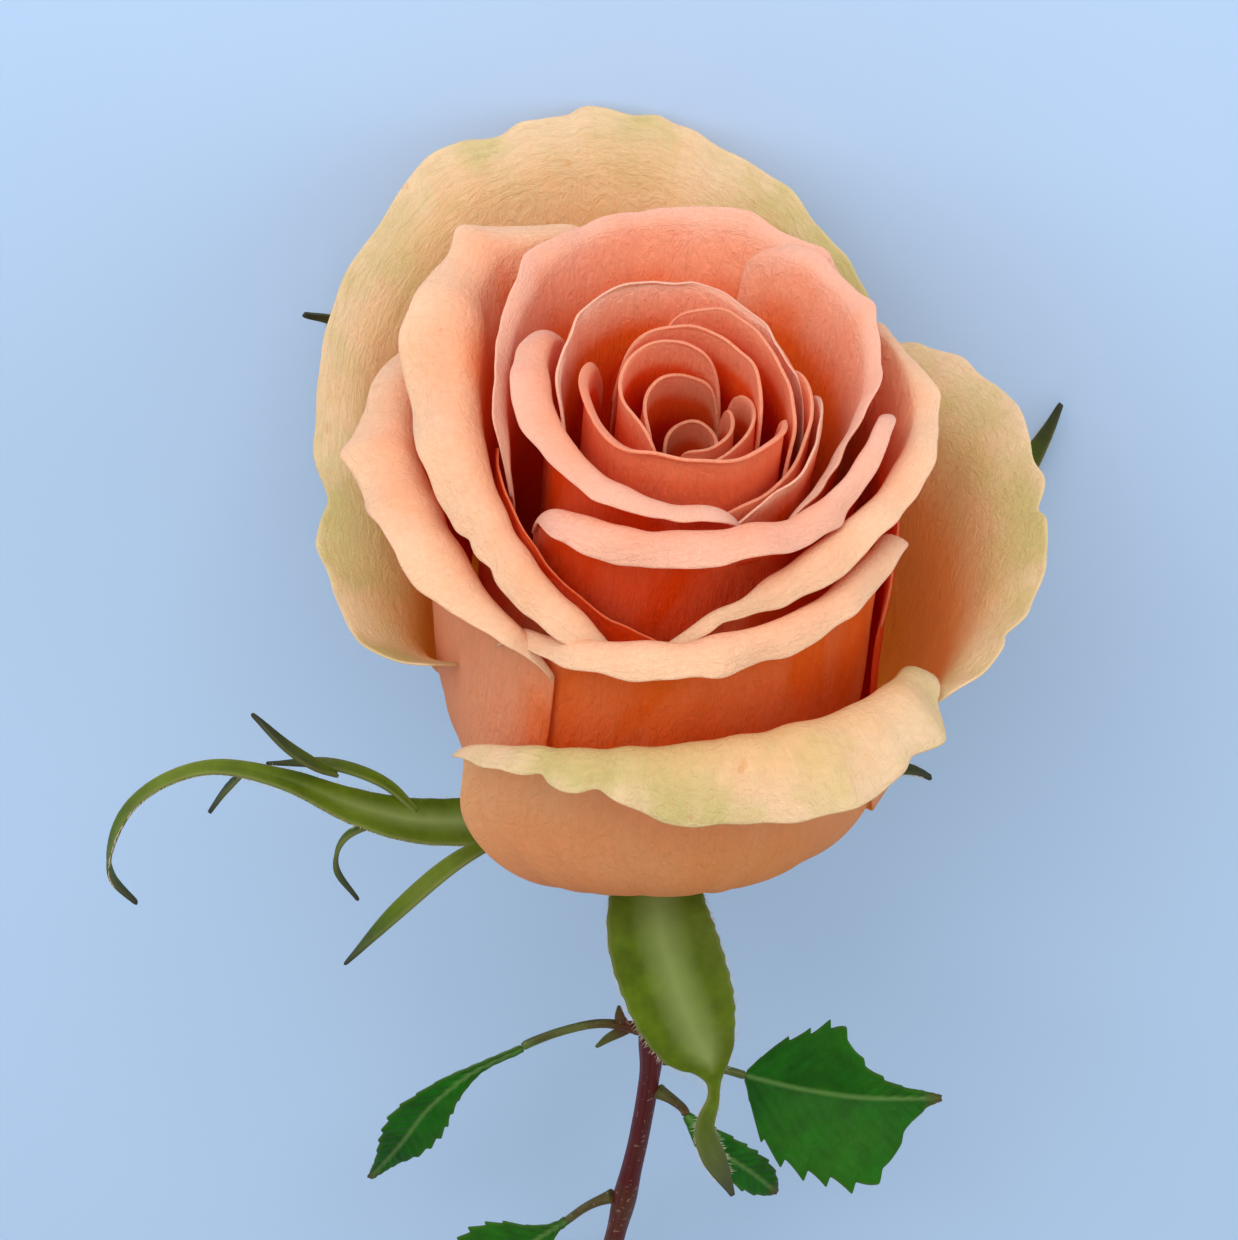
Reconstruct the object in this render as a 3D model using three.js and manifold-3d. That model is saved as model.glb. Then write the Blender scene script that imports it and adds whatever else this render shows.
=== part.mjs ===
// A cut rose, lying on a surface: an opened bloom of nested petals, its calyx of five long sepals,
// the receptacle under them, and a stem with three leaves. Millimetres and degrees.
//
// The flower is described in its own frame and laid down at the end. In that frame the bloom's
// axis is +Z, out of the stem's end, and a bearing is an angle about it from +X towards +Y.
import * as THREE from 'three';
import Module from 'manifold-3d';

const wasm = await Module();
wasm.setup();

// ---- driving dimensions ---------------------------------------------------------------------

const PETAL_THICKNESS = 0.5;
const CLEARANCE = 0.3;          // left between neighbouring pieces
const BLOOM_SPREAD = 80;        // across the outermost petals
const HEART_HEIGHT = 54;        // from the petals' foot up to the heart's rims
const HEART_BELLY = 4;          // radius of the innermost petal's belly, as drawn DRAWN_SPREAD across
const CUP_BELLY = 27.5;         // radius of the outermost petal's belly, likewise
const CLAW_RING_IN = 1.8;       // radius at which the innermost petal's claw is attached
const CLAW_RING_OUT = 6.6;      // radius at which the outermost petal's claw is attached
const PETAL_FOOT = 2;           // height of the claws' feet over the calyx

const HIP_RADIUS = 4.6;         // the receptacle, at its widest
const HIP_LENGTH = 11;
const HIP_RIM_RADIUS = 5.2;     // its top edge, which carries the sepals and the petals
const HIP_RIM_THICKNESS = 1;

const SEPAL_THICKNESS = 1;
const SEPAL_SIZE = 1;           // length and breadth of the sepals, 1 as drawn below

const STEM_LENGTH = 200;        // from the calyx down to the cut
const STEM_RADIUS = 1.4;
const STEM_CUT_RADIUS = 1.8;    // at the cut end
const STEM_SIDES = 8;
const LEAF_STALK_RADIUS = 0.6;
const LEAF_THICKNESS = 0.9;
const LEAF_SIZE = 1;            // length and breadth of the leaflets, 1 as drawn below

const LAY_ANGLE = 9;            // by which the bloom faces up from level as the rose lies

// ---- petals -----------------------------------------------------------------------------------

// From the heart outwards. Each petal spans its bearing +-half. The lists run evenly from its
// clockwise side to its other side: r and z place the crest, lean tips the wall outwards there,
// and past the crest a lip of that length rolls outwards by roll degrees. Radii and heights are
// drawn for a bloom 80 mm across with its heart 54 mm high.
const DRAWN_SPREAD = 80;
const DRAWN_HEART = 54;
const PETALS = [
  { name: 'heart_petal_1', bearing: 80, half: 125,
    r: [2.6, 2.4, 2.6], z: [50.5, 52.5, 50.5], lean: [-3] },
  { name: 'heart_petal_2', bearing: 325, half: 85,
    r: [3.8, 4, 4], z: [53, 54.5, 55], lean: [-3] },
  { name: 'heart_petal_3', bearing: 140, half: 85,
    r: [4.9, 5, 5.2], z: [55, 57, 54.5], lean: [-4] },
  { name: 'heart_petal_4', bearing: 345, half: 70,
    r: [5.6, 6.1, 5.6], z: [53, 55.5, 55.5], lean: [-4] },
  { name: 'heart_petal_5', bearing: 155, half: 98,
    r: [5, 5.8, 6.9, 8, 7.5, 6.9, 7.6], z: [57, 59.3, 60, 59, 57.8, 57, 55.8],
    lean: [-4, 0, 0, 0, -4] },
  { name: 'heart_petal_6', bearing: 70, half: 85,
    r: [6.8, 6.9, 7.3, 8.4, 9.3], z: [56, 58.7, 60.1, 60.5, 59.2], lean: [0] },
  { name: 'heart_petal_7', bearing: 258, half: 110,
    r: [11.6, 11.2, 10.2, 9.3, 9.1, 9.6, 8.8], z: [58.5, 58, 57, 57, 57, 57.5, 58],
    lean: [2, 0, -3, -5, -3, 0, 0], lip: [0.6, 1, 1, 0.8, 0.6, 0.6, 0.5], roll: [60] },
  { name: 'heart_petal_8', bearing: 45, half: 72,
    r: [10.9, 10, 9.8, 10.2, 10.6], z: [54.6, 57.4, 59.8, 61, 60.4], lean: [2] },
  { name: 'heart_petal_9', bearing: 335, half: 72,
    r: [11, 11, 11.6, 12, 11.8], z: [49, 51.5, 53.5, 56.5, 57.5], lean: [2] },
  { name: 'inner_petal_1', bearing: 105, half: 98,
    r: [11.8, 11.9, 12.6, 14.6, 15.4, 14.4, 13], z: [55, 58.1, 59.8, 61.2, 60.8, 58.6, 55.6],
    lean: [2, 4, 8, 12, 12, 8, 4] },
  { name: 'inner_petal_2', bearing: 335, half: 58,
    r: [12.3, 12.2, 12.9, 13.4, 13.2], z: [49.5, 52, 54.3, 55.3, 55.5], lean: [2, 2, 4, 6, 4] },
  { name: 'inner_petal_3', bearing: 222, half: 80,
    r: [17.2, 15.8, 14.6, 13.7, 13, 12.8, 13.4], z: [58.5, 58, 57, 55.4, 54.6, 54.2, 53.6],
    lean: [6, 4, 4, 2, 0, 0, 0], lip: [1.5, 4.2, 4.2, 3.6, 3.2, 2.6, 1],
    roll: [90, 105, 115, 120, 125, 120, 100] },
  { name: 'inner_petal_4', bearing: 18, half: 66,
    r: [13.8, 14, 15.2, 18.2, 21.2, 23, 24.4], z: [51, 52, 53, 55.3, 57.8, 59, 59.3],
    lean: [2, 4, 8, 16, 22, 24, 24], lip: [0.6, 1, 1.5, 2, 2, 2, 1.8], roll: [40, 50, 60] },
  { name: 'deep_petal_front', bearing: 300, half: 62,
    r: [14.6, 15, 15.4, 15.6, 16], z: [44, 47, 48.5, 49, 48], lean: [0] },
  { name: 'inner_petal_5', bearing: 123, half: 76,
    r: [24.6, 25, 25.4, 24.6, 22, 19.8, 18.6], z: [58, 58.6, 59.5, 59.4, 57.2, 54.5, 52.5],
    lean: [22, 24, 24, 22, 14, 6, 4], lip: [1.8, 2, 2, 2.2, 2.4, 2.2, 1.5], roll: [50] },
  { name: 'inner_petal_6', bearing: 292, half: 84,
    r: [17.4, 16.6, 15.8, 15.6, 16.2, 17.6, 20.2], z: [50.8, 52, 53.2, 53.6, 53.4, 55.2, 57.8],
    lean: [4, 4, 4, 4, 6, 8, 12], lip: [2, 4.6, 5, 4.8, 3.6, 2.6, 1.2],
    roll: [140, 140, 140, 140, 130, 110, 90] },
  { name: 'deep_petal_left', bearing: 236, half: 62,
    r: [20.4, 19.6, 18.8, 18.6, 19], z: [50, 47, 43, 40, 36], lean: [2] },
  { name: 'outer_petal_1', bearing: 337, half: 75,
    r: [21, 19.2, 18.4, 19.4, 22.2, 24.6, 26.2], z: [42.3, 47.2, 50, 51.5, 52.8, 54, 55.5],
    lean: [4, 6, 8, 12, 16, 18, 18], lip: [1.6, 3, 4.6, 4.6, 3.2, 1.6, 0.8],
    roll: [130, 135, 130, 115, 90, 70, 60] },
  { name: 'outer_petal_2', bearing: 186, half: 76,
    r: [29.5, 30.5, 24.2, 21.4, 20.6, 20.6, 21.5], z: [58, 55, 53, 50.4, 47.3, 43.8, 41],
    lean: [26, 24, 12, 8, 6, 4, 4], lip: [0.8, 4.4, 9.6, 8.5, 6.5, 4.8, 2.5],
    roll: [50, 80, 105, 125, 145, 150, 140] },
  { name: 'outer_petal_3', bearing: 286, half: 64,
    r: [23.4, 22.8, 22.4, 21.9, 21.6, 21.4, 21.8], z: [39.6, 41.4, 43.5, 45, 46.3, 47.2, 48],
    lean: [2, 2, 4, 4, 6, 6, 8], lip: [2, 4.2, 5, 5, 4.8, 4, 1.6],
    roll: [145, 145, 145, 140, 135, 130, 110] },
  { name: 'deep_petal_right', bearing: 38, half: 50,
    r: [22.5, 23, 24.5, 25.5, 25.5], z: [36, 42, 46.5, 48.5, 48], lean: [6] },
  { name: 'outer_petal_4', bearing: 192, half: 50,
    r: [33, 29.8, 25.8, 24.3, 23.8], z: [45.5, 44.5, 43, 41, 39],
    lean: [24, 16, 8, 4, 2], lip: [4.5, 7.4, 8.5, 5.8, 0.8], roll: [100, 112, 118, 120, 100] },
  { name: 'back_petal', bearing: 84, half: 54,
    r: [25.4, 27, 29.6, 31, 31], z: [43, 47, 49, 50, 49], lean: [10, 14, 18, 18, 16],
    lip: [2, 3, 3.4, 3.4, 2.4], roll: [40] },
  { name: 'guard_petal_right', bearing: 12, half: 45,
    r: [28.5, 32, 33, 32.5, 29], z: [29.5, 32, 36.5, 39.5, 42.5],
    lean: [16, 26, 30, 30, 24], lip: [5, 7.5, 8, 8, 6], roll: [40, 30, 25, 30, 30] },
  { name: 'guard_petal_front', bearing: 282, half: 56,
    r: [29.8, 27.6, 25.9, 25.7, 26.6, 27.6, 27], z: [27, 29.2, 31.4, 33, 34, 34.7, 34.8],
    lean: [4, 4, 6, 6, 8, 12, 14], lip: [3, 6, 9, 12, 13.6, 10.6, 5],
    roll: [115, 120, 125, 125, 120, 110, 95] },
  { name: 'guard_petal_back', bearing: 129, half: 83, flare: 1.4,
    r: [29, 30, 36, 41.5, 42, 40.5, 32.8, 29, 23.3], z: [46, 50, 52.5, 53.5, 50.5, 40.4, 30.5, 23, 30],
    lean: [20, 22, 26, 28, 28, 40, 65, 55, 65], lip: [5, 6, 7, 7, 7, 7, 7, 6.5, 4],
    roll: [20, 25, 25, 30, 30, 25, 20, 15, 10] },
];

const CLAW_SHARE = 0.4;         // the claw's width as a share of the petal's
const CLAW_FLARE = 2;           // how soon the claw opens into the blade
const BELLY_REACH = 1.32;       // how far the blade's handle swings out to reach the belly
const SHOULDER_DROP = 0.12;     // how far a petal's height falls off at its very sides
const SHOULDER_POWER = 12;
const LIP_EASE = 2.2;           // the roll is tightest at the crest

const radians = THREE.MathUtils.degToRad;
const { clamp, lerp, smoothstep } = THREE.MathUtils;

// A smooth value through evenly spaced ones, for u from -1 to 1.
function along(values, u) {
  const last = values.length - 1;
  if (last === 0) return values[0];
  const x = clamp((u + 1) / 2, 0, 1) * last;
  const i = Math.min(Math.floor(x), last - 1);
  const f = x - i;
  const b = values[i];
  const c = values[i + 1];
  const a = i > 0 ? values[i - 1] : 2 * b - c;
  const d = i < last - 1 ? values[i + 2] : 2 * c - b;
  return 0.5 * (2 * b + (c - a) * f + (2 * a - 5 * b + 4 * c - d) * f * f
    + (3 * b - a - 3 * c + d) * f * f * f);
}

// One rib of a petal: points (radius, height) from its foot over the belly to the lip's margin.
function petalRib(petal, u, bladeSteps, lipSteps) {
  const widen = BLOOM_SPREAD / DRAWN_SPREAD;
  const raise = HEART_HEIGHT / DRAWN_HEART;
  const shoulder = 1 - SHOULDER_DROP * Math.abs(u) ** SHOULDER_POWER;
  const crestR = along(petal.r, u) * widen;
  const crestZ = PETAL_FOOT + (along(petal.z, u) * raise - PETAL_FOOT) * shoulder;
  const lean = radians(along(petal.lean, u));
  const lip = Math.max(along(petal.lip ?? [0], u) * widen + petal.margin, 0.05);
  const roll = radians(along(petal.roll ?? [0], u));
  const handle = 0.45 * (crestZ - PETAL_FOOT);
  const blade = new THREE.CubicBezierCurve(
    new THREE.Vector2(petal.ring, PETAL_FOOT - petal.margin),
    new THREE.Vector2(petal.belly * widen * BELLY_REACH, PETAL_FOOT + 1),
    new THREE.Vector2(crestR - handle * Math.sin(lean), crestZ - handle * Math.cos(lean)),
    new THREE.Vector2(crestR, crestZ));
  const points = blade.getPoints(bladeSteps);
  const fine = 12;
  const tip = points[bladeSteps].clone();
  for (let i = 0; i < lipSteps * fine; i += 1) {
    const turned = 1 - (1 - (i + 0.5) / (lipSteps * fine)) ** LIP_EASE;
    const angle = lean + roll * turned;
    const step = lip / (lipSteps * fine);
    tip.x += step * Math.sin(angle);
    tip.y += step * Math.cos(angle);
    if ((i + 1) % fine === 0) points.push(tip.clone());
  }
  return points;
}

// A sheet given as rows of points becomes a closed shell of even thickness.
function shellOf(rows, thickness) {
  const across = rows.length;
  const up = rows[0].length;
  const at = (i, j) => rows[clamp(i, 0, across - 1)][clamp(j, 0, up - 1)];
  const position = [];
  for (const side of [1, -1]) {
    for (let i = 0; i < across; i += 1) {
      for (let j = 0; j < up; j += 1) {
        const normal = new THREE.Vector3().crossVectors(
          at(i + 1, j).clone().sub(at(i - 1, j)), at(i, j + 1).clone().sub(at(i, j - 1))).normalize();
        const p = at(i, j).clone().addScaledVector(normal, side * thickness / 2);
        position.push(p.x, p.y, p.z);
      }
    }
  }
  const index = [];
  const quad = (a, b, c, d) => index.push(a, b, c, a, c, d);
  const back = across * up;
  for (let i = 0; i < across - 1; i += 1) {
    for (let j = 0; j < up - 1; j += 1) {
      const a = i * up + j;
      quad(a, a + up, a + up + 1, a + 1);
      quad(back + a, back + a + 1, back + a + up + 1, back + a + up);
    }
  }
  for (let i = 0; i < across - 1; i += 1) {
    const foot = i * up;
    const margin = foot + up - 1;
    quad(back + foot, back + foot + up, foot + up, foot);
    quad(margin, margin + up, back + margin + up, back + margin);
  }
  for (let j = 0; j < up - 1; j += 1) {
    const far = (across - 1) * up + j;
    quad(j, j + 1, back + j + 1, back + j);
    quad(back + far, back + far + 1, far + 1, far);
  }
  return solid(position, index);
}

function solid(position, index) {
  const made = new wasm.Manifold(new wasm.Mesh({
    numProp: 3,
    vertProperties: new Float32Array(position),
    triVerts: new Uint32Array(index),
  }));
  return made;
}

// A petal's solid. Grown by a margin all round, it is the room the petal keeps to itself.
function petalSolid(petal, margin) {
  const fineness = petal.name.startsWith('heart') ? [6, 5, 1] : [8, 5, 2];
  const [across, bladeSteps, lipSteps] = fineness;
  const grown = { ...petal, margin };
  const rows = [];
  for (let i = 0; i <= across; i += 1) {
    const u = 2 * i / across - 1;
    const rib = petalRib(grown, u, bladeSteps, lipSteps);
    rows.push(rib.map((p, j) => {
      const v = j / (rib.length - 1);
      const claw = lerp(CLAW_SHARE, 1, smoothstep((petal.flare ?? CLAW_FLARE) * v, 0, 1));
      const spare = margin / Math.max(p.x, 1);
      const bearing = radians(petal.bearing) + u * (radians(petal.half) * claw + spare);
      return new THREE.Vector3(p.x * Math.cos(bearing), p.x * Math.sin(bearing), p.y);
    }));
  }
  return shellOf(rows, PETAL_THICKNESS + 2 * margin);
}

// Every petal gives way to those inside it, so that no two of them meet.
function petalSolids() {
  const last = PETALS.length - 1;
  const rooms = [];
  return PETALS.map((drawn, rank) => {
    const petal = {
      ...drawn,
      belly: lerp(HEART_BELLY, CUP_BELLY, rank / last),
      ring: lerp(CLAW_RING_IN, CLAW_RING_OUT, rank / last),
    };
    const whole = petalSolid(petal, 0);
    const cut = rooms.length ? whole.subtract(wasm.Manifold.union(rooms)) : whole;
    rooms.push(petalSolid(petal, CLEARANCE).add(whole));
    return { name: petal.name, body: largest(cut).simplify(CLEARANCE / 4) };
  });
}

function largest(body) {
  return body.decompose().reduce((a, b) => (b.volume() > a.volume() ? b : a));
}

function geometryOf(body) {
  const mesh = body.getMesh();
  const geometry = new THREE.BufferGeometry();
  const position = new Float32Array(mesh.numVert * 3);
  for (let i = 0; i < mesh.numVert; i += 1) {
    for (let k = 0; k < 3; k += 1) position[3 * i + k] = mesh.vertProperties[mesh.numProp * i + k];
  }
  geometry.setAttribute('position', new THREE.BufferAttribute(position, 3));
  geometry.setIndex(new THREE.BufferAttribute(mesh.triVerts, 1));
  geometry.computeVertexNormals();
  return geometry;
}


// ---- ribbons and stalks: sepals, leaflets, petioles and the stem -------------------------------

// Points along a smooth line, with the direction of travel and two directions across it. `face`
// says which way the ribbon's upper side looks at the start, and it turns with the line.
function carried(points, steps, face) {
  const curve = new THREE.CatmullRomCurve3(points.map((p) => new THREE.Vector3(...p)), false, 'centripetal');
  const up = new THREE.Vector3(...face);
  const frames = [];
  for (let i = 0; i <= steps; i += 1) {
    const s = i / steps;
    const forward = curve.getTangentAt(s);
    up.addScaledVector(forward, -up.dot(forward)).normalize();
    const side = new THREE.Vector3().crossVectors(up, forward).normalize();
    frames.push({ s, at: curve.getPointAt(s), up: up.clone(), side });
  }
  return frames;
}

// Rings of equally many points, joined in order and closed by a fan at each end.
function loft(rings) {
  const sides = rings[0].length;
  const position = [];
  for (const ring of rings) for (const p of ring) position.push(p.x, p.y, p.z);
  const index = [];
  for (let i = 0; i < rings.length - 1; i += 1) {
    for (let k = 0; k < sides; k += 1) {
      const a = i * sides + k;
      const b = i * sides + (k + 1) % sides;
      index.push(a, b, b + sides, a, b + sides, a + sides);
    }
  }
  const last = (rings.length - 1) * sides;
  for (let k = 1; k < sides - 1; k += 1) {
    index.push(0, k + 1, k, last, last + k, last + k + 1);
  }
  return solid(position, index);
}

// A blade: thick along its midrib, thin at its two margins, `widths` across at even stations, and
// `otherWidths` where its two sides differ.
function ribbon({ points, widths, otherWidths = widths, face, thickness, steps, fold = 0 }) {
  const rings = carried(points, steps, face).map(({ s, at, up, side }) => {
    const half = Math.max(along(widths, 2 * s - 1) / 2, 0.25);
    const otherHalf = Math.max(along(otherWidths, 2 * s - 1) / 2, 0.25);
    const deep = thickness / 2 * clamp(Math.min(half, otherHalf), 0.4, 1);
    const margin = (reach) => at.clone().addScaledVector(side, reach * Math.cos(radians(fold)))
      .addScaledVector(up, Math.abs(reach) * Math.sin(radians(fold)));
    return [
      margin(half),
      at.clone().addScaledVector(up, deep),
      margin(-otherHalf),
      at.clone().addScaledVector(up, -deep),
    ];
  });
  return loft(rings);
}

// A round stalk whose radius follows `radii` at even stations.
function stalk({ points, radii, steps, sides }) {
  const rings = carried(points, steps, [1, 0.01, 0.02]).map(({ s, at, up, side }) => {
    const radius = along(radii, 2 * s - 1);
    return Array.from({ length: sides }, (_, k) => {
      const turn = 2 * Math.PI * k / sides;
      return at.clone().addScaledVector(up, radius * Math.cos(turn))
        .addScaledVector(side, -radius * Math.sin(turn));
    });
  });
  return loft(rings);
}

// ---- calyx --------------------------------------------------------------------------------------

// Each sepal runs from the hip's rim through its points; lobes branch from its margins.
const SEPALS = [
  { name: 'sepal_front', bearing: 277,
    points: [
      [1, -10, -3], [2.1, -16.9, -5.9], [4.2, -20.2, -10.2], [7.1, -22.9, -15.9], [9.4, -24.1, -20.1],
      [10.1, -25.4, -24.2], [9.5, -28, -27], [13.4, -32.9, -32],
    ],
    widths: [5, 8.5, 11, 12.6, 12.6, 11.6, 8.4, 1.8, 2.2, 3, 0.5],
    lobes: [] },
  { name: 'sepal_left', bearing: 203,
    points: [
      [-10, -5, -1.6], [-25, -8.2, -2], [-33, -8.3, -0.5], [-40.7, -7.7, 2.1], [-48.7, -7.8, 3.2],
      [-53.6, -8.8, 1.8], [-57.8, -9.2, -2.7], [-60.1, -9.5, -9], [-60.2, -9, -15.5], [-57.4, -9.1, -19.6],
    ],
    widths: [4.5, 7.6, 7.4, 6.8, 5.8, 4, 2.6, 2, 2, 2.5, 2.5, 0.5],
    lobes: [
      { points: [[-35.4, -4.6, 0.6], [-38, -5.6, 2.8], [-41, -6, 5.6], [-45, -5.5, 10]], width: 2.8 },
      { points: [[-26, -7.2, -1.6], [-30, -4.6, -0.2], [-36, -3.8, 1.2], [-43.5, -4, 0.6]], width: 1.8 },
      { points: [[-45.6, -8, 2.8], [-47.4, -7.6, -0.6], [-49.4, -7.2, -5]], width: 2.8 },
      { points: [[-28.6, -8.6, -1.4], [-33.6, -8.6, -5], [-34.8, -8.2, -11], [-32.2, -7.6, -17]], width: 1.4 },
      { points: [[-15, -8, -2.2], [-20.5, -13.4, -1.6], [-27, -14.4, -10], [-33, -14, -21]], width: 2.8 },
    ] },
  { name: 'sepal_back_left', bearing: 137,
    points: [
      [-7, 6, -1.6], [-15, 13, -1.8], [-26, 23, 1], [-34, 30, 9], [-38.4, 34, 20], [-39, 34.6, 29.6],
      [-40.7, 32.7, 34.7], [-44, 29.4, 38.2],
    ],
    widths: [4, 7, 6.4, 4.4, 2.6, 2.2, 1.8, 0.6],
    lobes: [
      { points: [[-25, 22.6, 0.8], [-28, 31, 2], [-29, 37, 9]], width: 2.2 },
    ] },
  { name: 'sepal_back_right', bearing: 50,
    points: [
      [6, 7, -1.6], [13, 14, -1.8], [23, 23, 0], [32, 31, 6], [37.6, 37, 12.6], [40, 38.8, 18.2],
      [41.5, 38.8, 23.8], [42.4, 39.4, 27.2],
    ],
    widths: [4, 7, 6.2, 4, 3, 3, 4.2, 2.8, 0.6],
    lobes: [
      { points: [[24, 23.6, 0.4], [25, 31, 1.6], [28, 35.5, 6]], width: 2.2 },
    ] },
  { name: 'sepal_right', bearing: 352,
    points: [
      [8, -1, -1.8], [14, 0.6, -2.4], [20, 2.6, 0], [24, 3.8, 1], [27, 4.4, 0.9], [29.4, 5, 0.1],
      [31.4, 5.5, -1.3],
    ],
    widths: [4, 6.6, 5.4, 3.6, 2.6, 1.8, 0.6],
    lobes: [] },
];

function sepalSolid(sepal) {
  const start = radians(sepal.bearing);
  const rim = HIP_RIM_RADIUS + CLEARANCE;
  const root = [rim * Math.cos(start), rim * Math.sin(start), -HIP_RIM_THICKNESS / 2];
  const grow = (p) => p.map((x) => x * SEPAL_SIZE);
  let body = ribbon({
    points: [root, ...sepal.points.map(grow)],
    widths: sepal.widths.map((w) => w * SEPAL_SIZE),
    face: [0, 0, 1], thickness: SEPAL_THICKNESS, steps: 18, fold: 12,
  });
  for (const { points, width } of sepal.lobes) {
    const blade = ribbon({
      points: points.map(grow), widths: [0.5, 0.9, 0.8, 0.1].map((w) => w * width * SEPAL_SIZE),
      face: [0, 0, 1], thickness: SEPAL_THICKNESS, steps: 6,
    });
    body = body.add(blade);
  }
  return largest(body);
}

// The hip: a cup-shaped swelling of the stem's end that carries sepals and petals on its rim.
function hipGeometry() {
  const profile = new THREE.SplineCurve([
    new THREE.Vector2(STEM_RADIUS * 1.1, -HIP_LENGTH),
    new THREE.Vector2(HIP_RADIUS * 0.8, -HIP_LENGTH * 0.8),
    new THREE.Vector2(HIP_RADIUS, -HIP_LENGTH * 0.5),
    new THREE.Vector2(HIP_RADIUS * 0.9, -HIP_RIM_THICKNESS * 2),
  ]).getPoints(4);
  const top = PETAL_FOOT - PETAL_THICKNESS / 2 - CLEARANCE * 2;
  const outline = [
    new THREE.Vector2(0, -HIP_LENGTH),
    ...profile,
    new THREE.Vector2(HIP_RIM_RADIUS, -HIP_RIM_THICKNESS),
    new THREE.Vector2(HIP_RIM_RADIUS, 0),
    new THREE.Vector2(HIP_RIM_RADIUS * 0.85, top),
    new THREE.Vector2(0, top),
  ];
  return new THREE.LatheGeometry(outline, 16).rotateX(Math.PI / 2);
}

// ---- stem and leaves ------------------------------------------------------------------------------

// The stem bows a little, thickens at each node that a leaf grows from, and comes down to the
// surface the rose lies on at its cut end. `rest` is how far behind the axis that surface is there.
const STEM_TOP = -HIP_LENGTH - CLEARANCE;
const NODE_HIGH = -47;
const NODE_LOW = -78;

function stemLine(rest) {
  return [
    [0, 0, STEM_TOP], [1.6, 0, -28], [3.3, 0, NODE_HIGH], [3.1, 0, -62], [2, 0, NODE_LOW],
    [0.2, 0, -100], [-2.2, rest * 0.4, -STEM_LENGTH * 0.7], [-2, rest, -STEM_LENGTH],
  ];
}

function stemSolid(rest) {
  const line = new THREE.CatmullRomCurve3(stemLine(rest).map((p) => new THREE.Vector3(...p)), false, 'centripetal');
  const stations = 33;
  const radii = Array.from({ length: stations }, (_, i) => {
    const { z } = line.getPointAt(i / (stations - 1));
    const swell = (node, by) => by * Math.exp(-(((z - node) / 5) ** 2));
    const flare = (STEM_CUT_RADIUS - STEM_RADIUS) * smoothstep(-z, STEM_LENGTH * 0.6, STEM_LENGTH);
    return STEM_RADIUS * (0.9 + swell(NODE_HIGH + 2, 0.35) + swell(NODE_LOW + 1, 0.2))
      + STEM_RADIUS * 0.1 * smoothstep(-z, 80, 110) + flare;
  });
  return stalk({ points: stemLine(rest), radii, steps: 26, sides: STEM_SIDES });
}

// Leaves start on the stem's surface, a clearance off it. `out` is measured from that surface.
const LEAVES = [
  { name: 'leaf_left', side: -1, height: -44, centre: 3.2,
    stalk: [[0, 0, 0], [-4.4, -1, 1.4], [-8.4, -2, 0.8], [-13, -2.5, -2.1]],
    wings: [
      { points: [[-1, -0.4, 0.4], [-2, -0.8, 2.4], [-2.4, -1, 5]], width: 1.6 },
      { points: [[-1, -0.4, 0.4], [-3, -1, -0.8], [-4.6, -1.4, -2.6]], width: 1.6 },
    ],
    blades: [
      { name: 'leaf_left_blade', from: [-13.4, -2.6, -2.5], face: [0.5, -0.6, 0.4],
        line: [[-5.6, -1.5, -3.7], [-10.4, -2, -10.2], [-13.8, -1.7, -18.5], [-17.6, 0.3, -28.7]],
        widths: [1.2, 1.4, 2, 3.4, 5.4, 7, 6.8, 5.4, 3.4, 1.8, 0.6] },
    ] },
  { name: 'leaf_right', side: 1, height: -49, centre: 3.3,
    stalk: [[0, 0, 0], [3.4, 0.9, -1.9], [7, 2, -3.6], [9.3, 2.3, -4.6]],
    wings: [],
    blades: [
      { name: 'leaf_right_large_leaflet', from: [9.7, 2.4, -4.8], face: [0, -0.75, 0.66],
        line: [[7.1, -0.4, -1], [14.4, -0.7, -1.1], [24.2, 0.7, -1.5]],
        widths: [1.2, 8.8, 12.8, 15.2, 17.6, 17.2, 11.2, 7, 4.4, 2.8, 1.8, 0.6],
        otherWidths: [1.2, 10, 16, 19.2, 20.8, 21.6, 22.4, 22, 17, 8, 3, 0.6] },
    ] },
  { name: 'leaf_right_low', side: 1, height: -55.5, centre: 3.2,
    stalk: [[0, 0, 0], [1.2, -1.6, 0.6], [2.7, -3.9, 1.7]],
    wings: [],
    blades: [
      { name: 'leaf_right_small_leaflet', from: [3, -4.5, 1.5], face: [0.3, -0.8, 0.5],
        line: [[4.1, -0.9, -4.6], [8.4, 0.4, -9.9], [12.4, 2.2, -16.1]],
        widths: [1, 3, 4.6, 5.2, 5.2, 4.8, 3.4, 0.6] },
    ] },
  { name: 'leaf_low', side: -1, height: NODE_LOW + 1, centre: 2.1,
    stalk: [[0, 0, 0], [-1.4, 0.3, -2], [-3, 0.8, -4.4], [-4.6, 1.2, -7.2]],
    wings: [],
    blades: [
      { name: 'leaf_low_blade', from: [-4.8, 1.3, -7.6], face: [-0.3, -0.9, 0.4],
        line: [[-4, 1, -6.4], [-9.4, 1.6, -15], [-15, 1.2, -25]],
        widths: [1.1, 1.6, 4, 8.4, 11.6, 12.8, 11.8, 9, 5.4, 2.2, 0.6] },
    ] },
];

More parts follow.
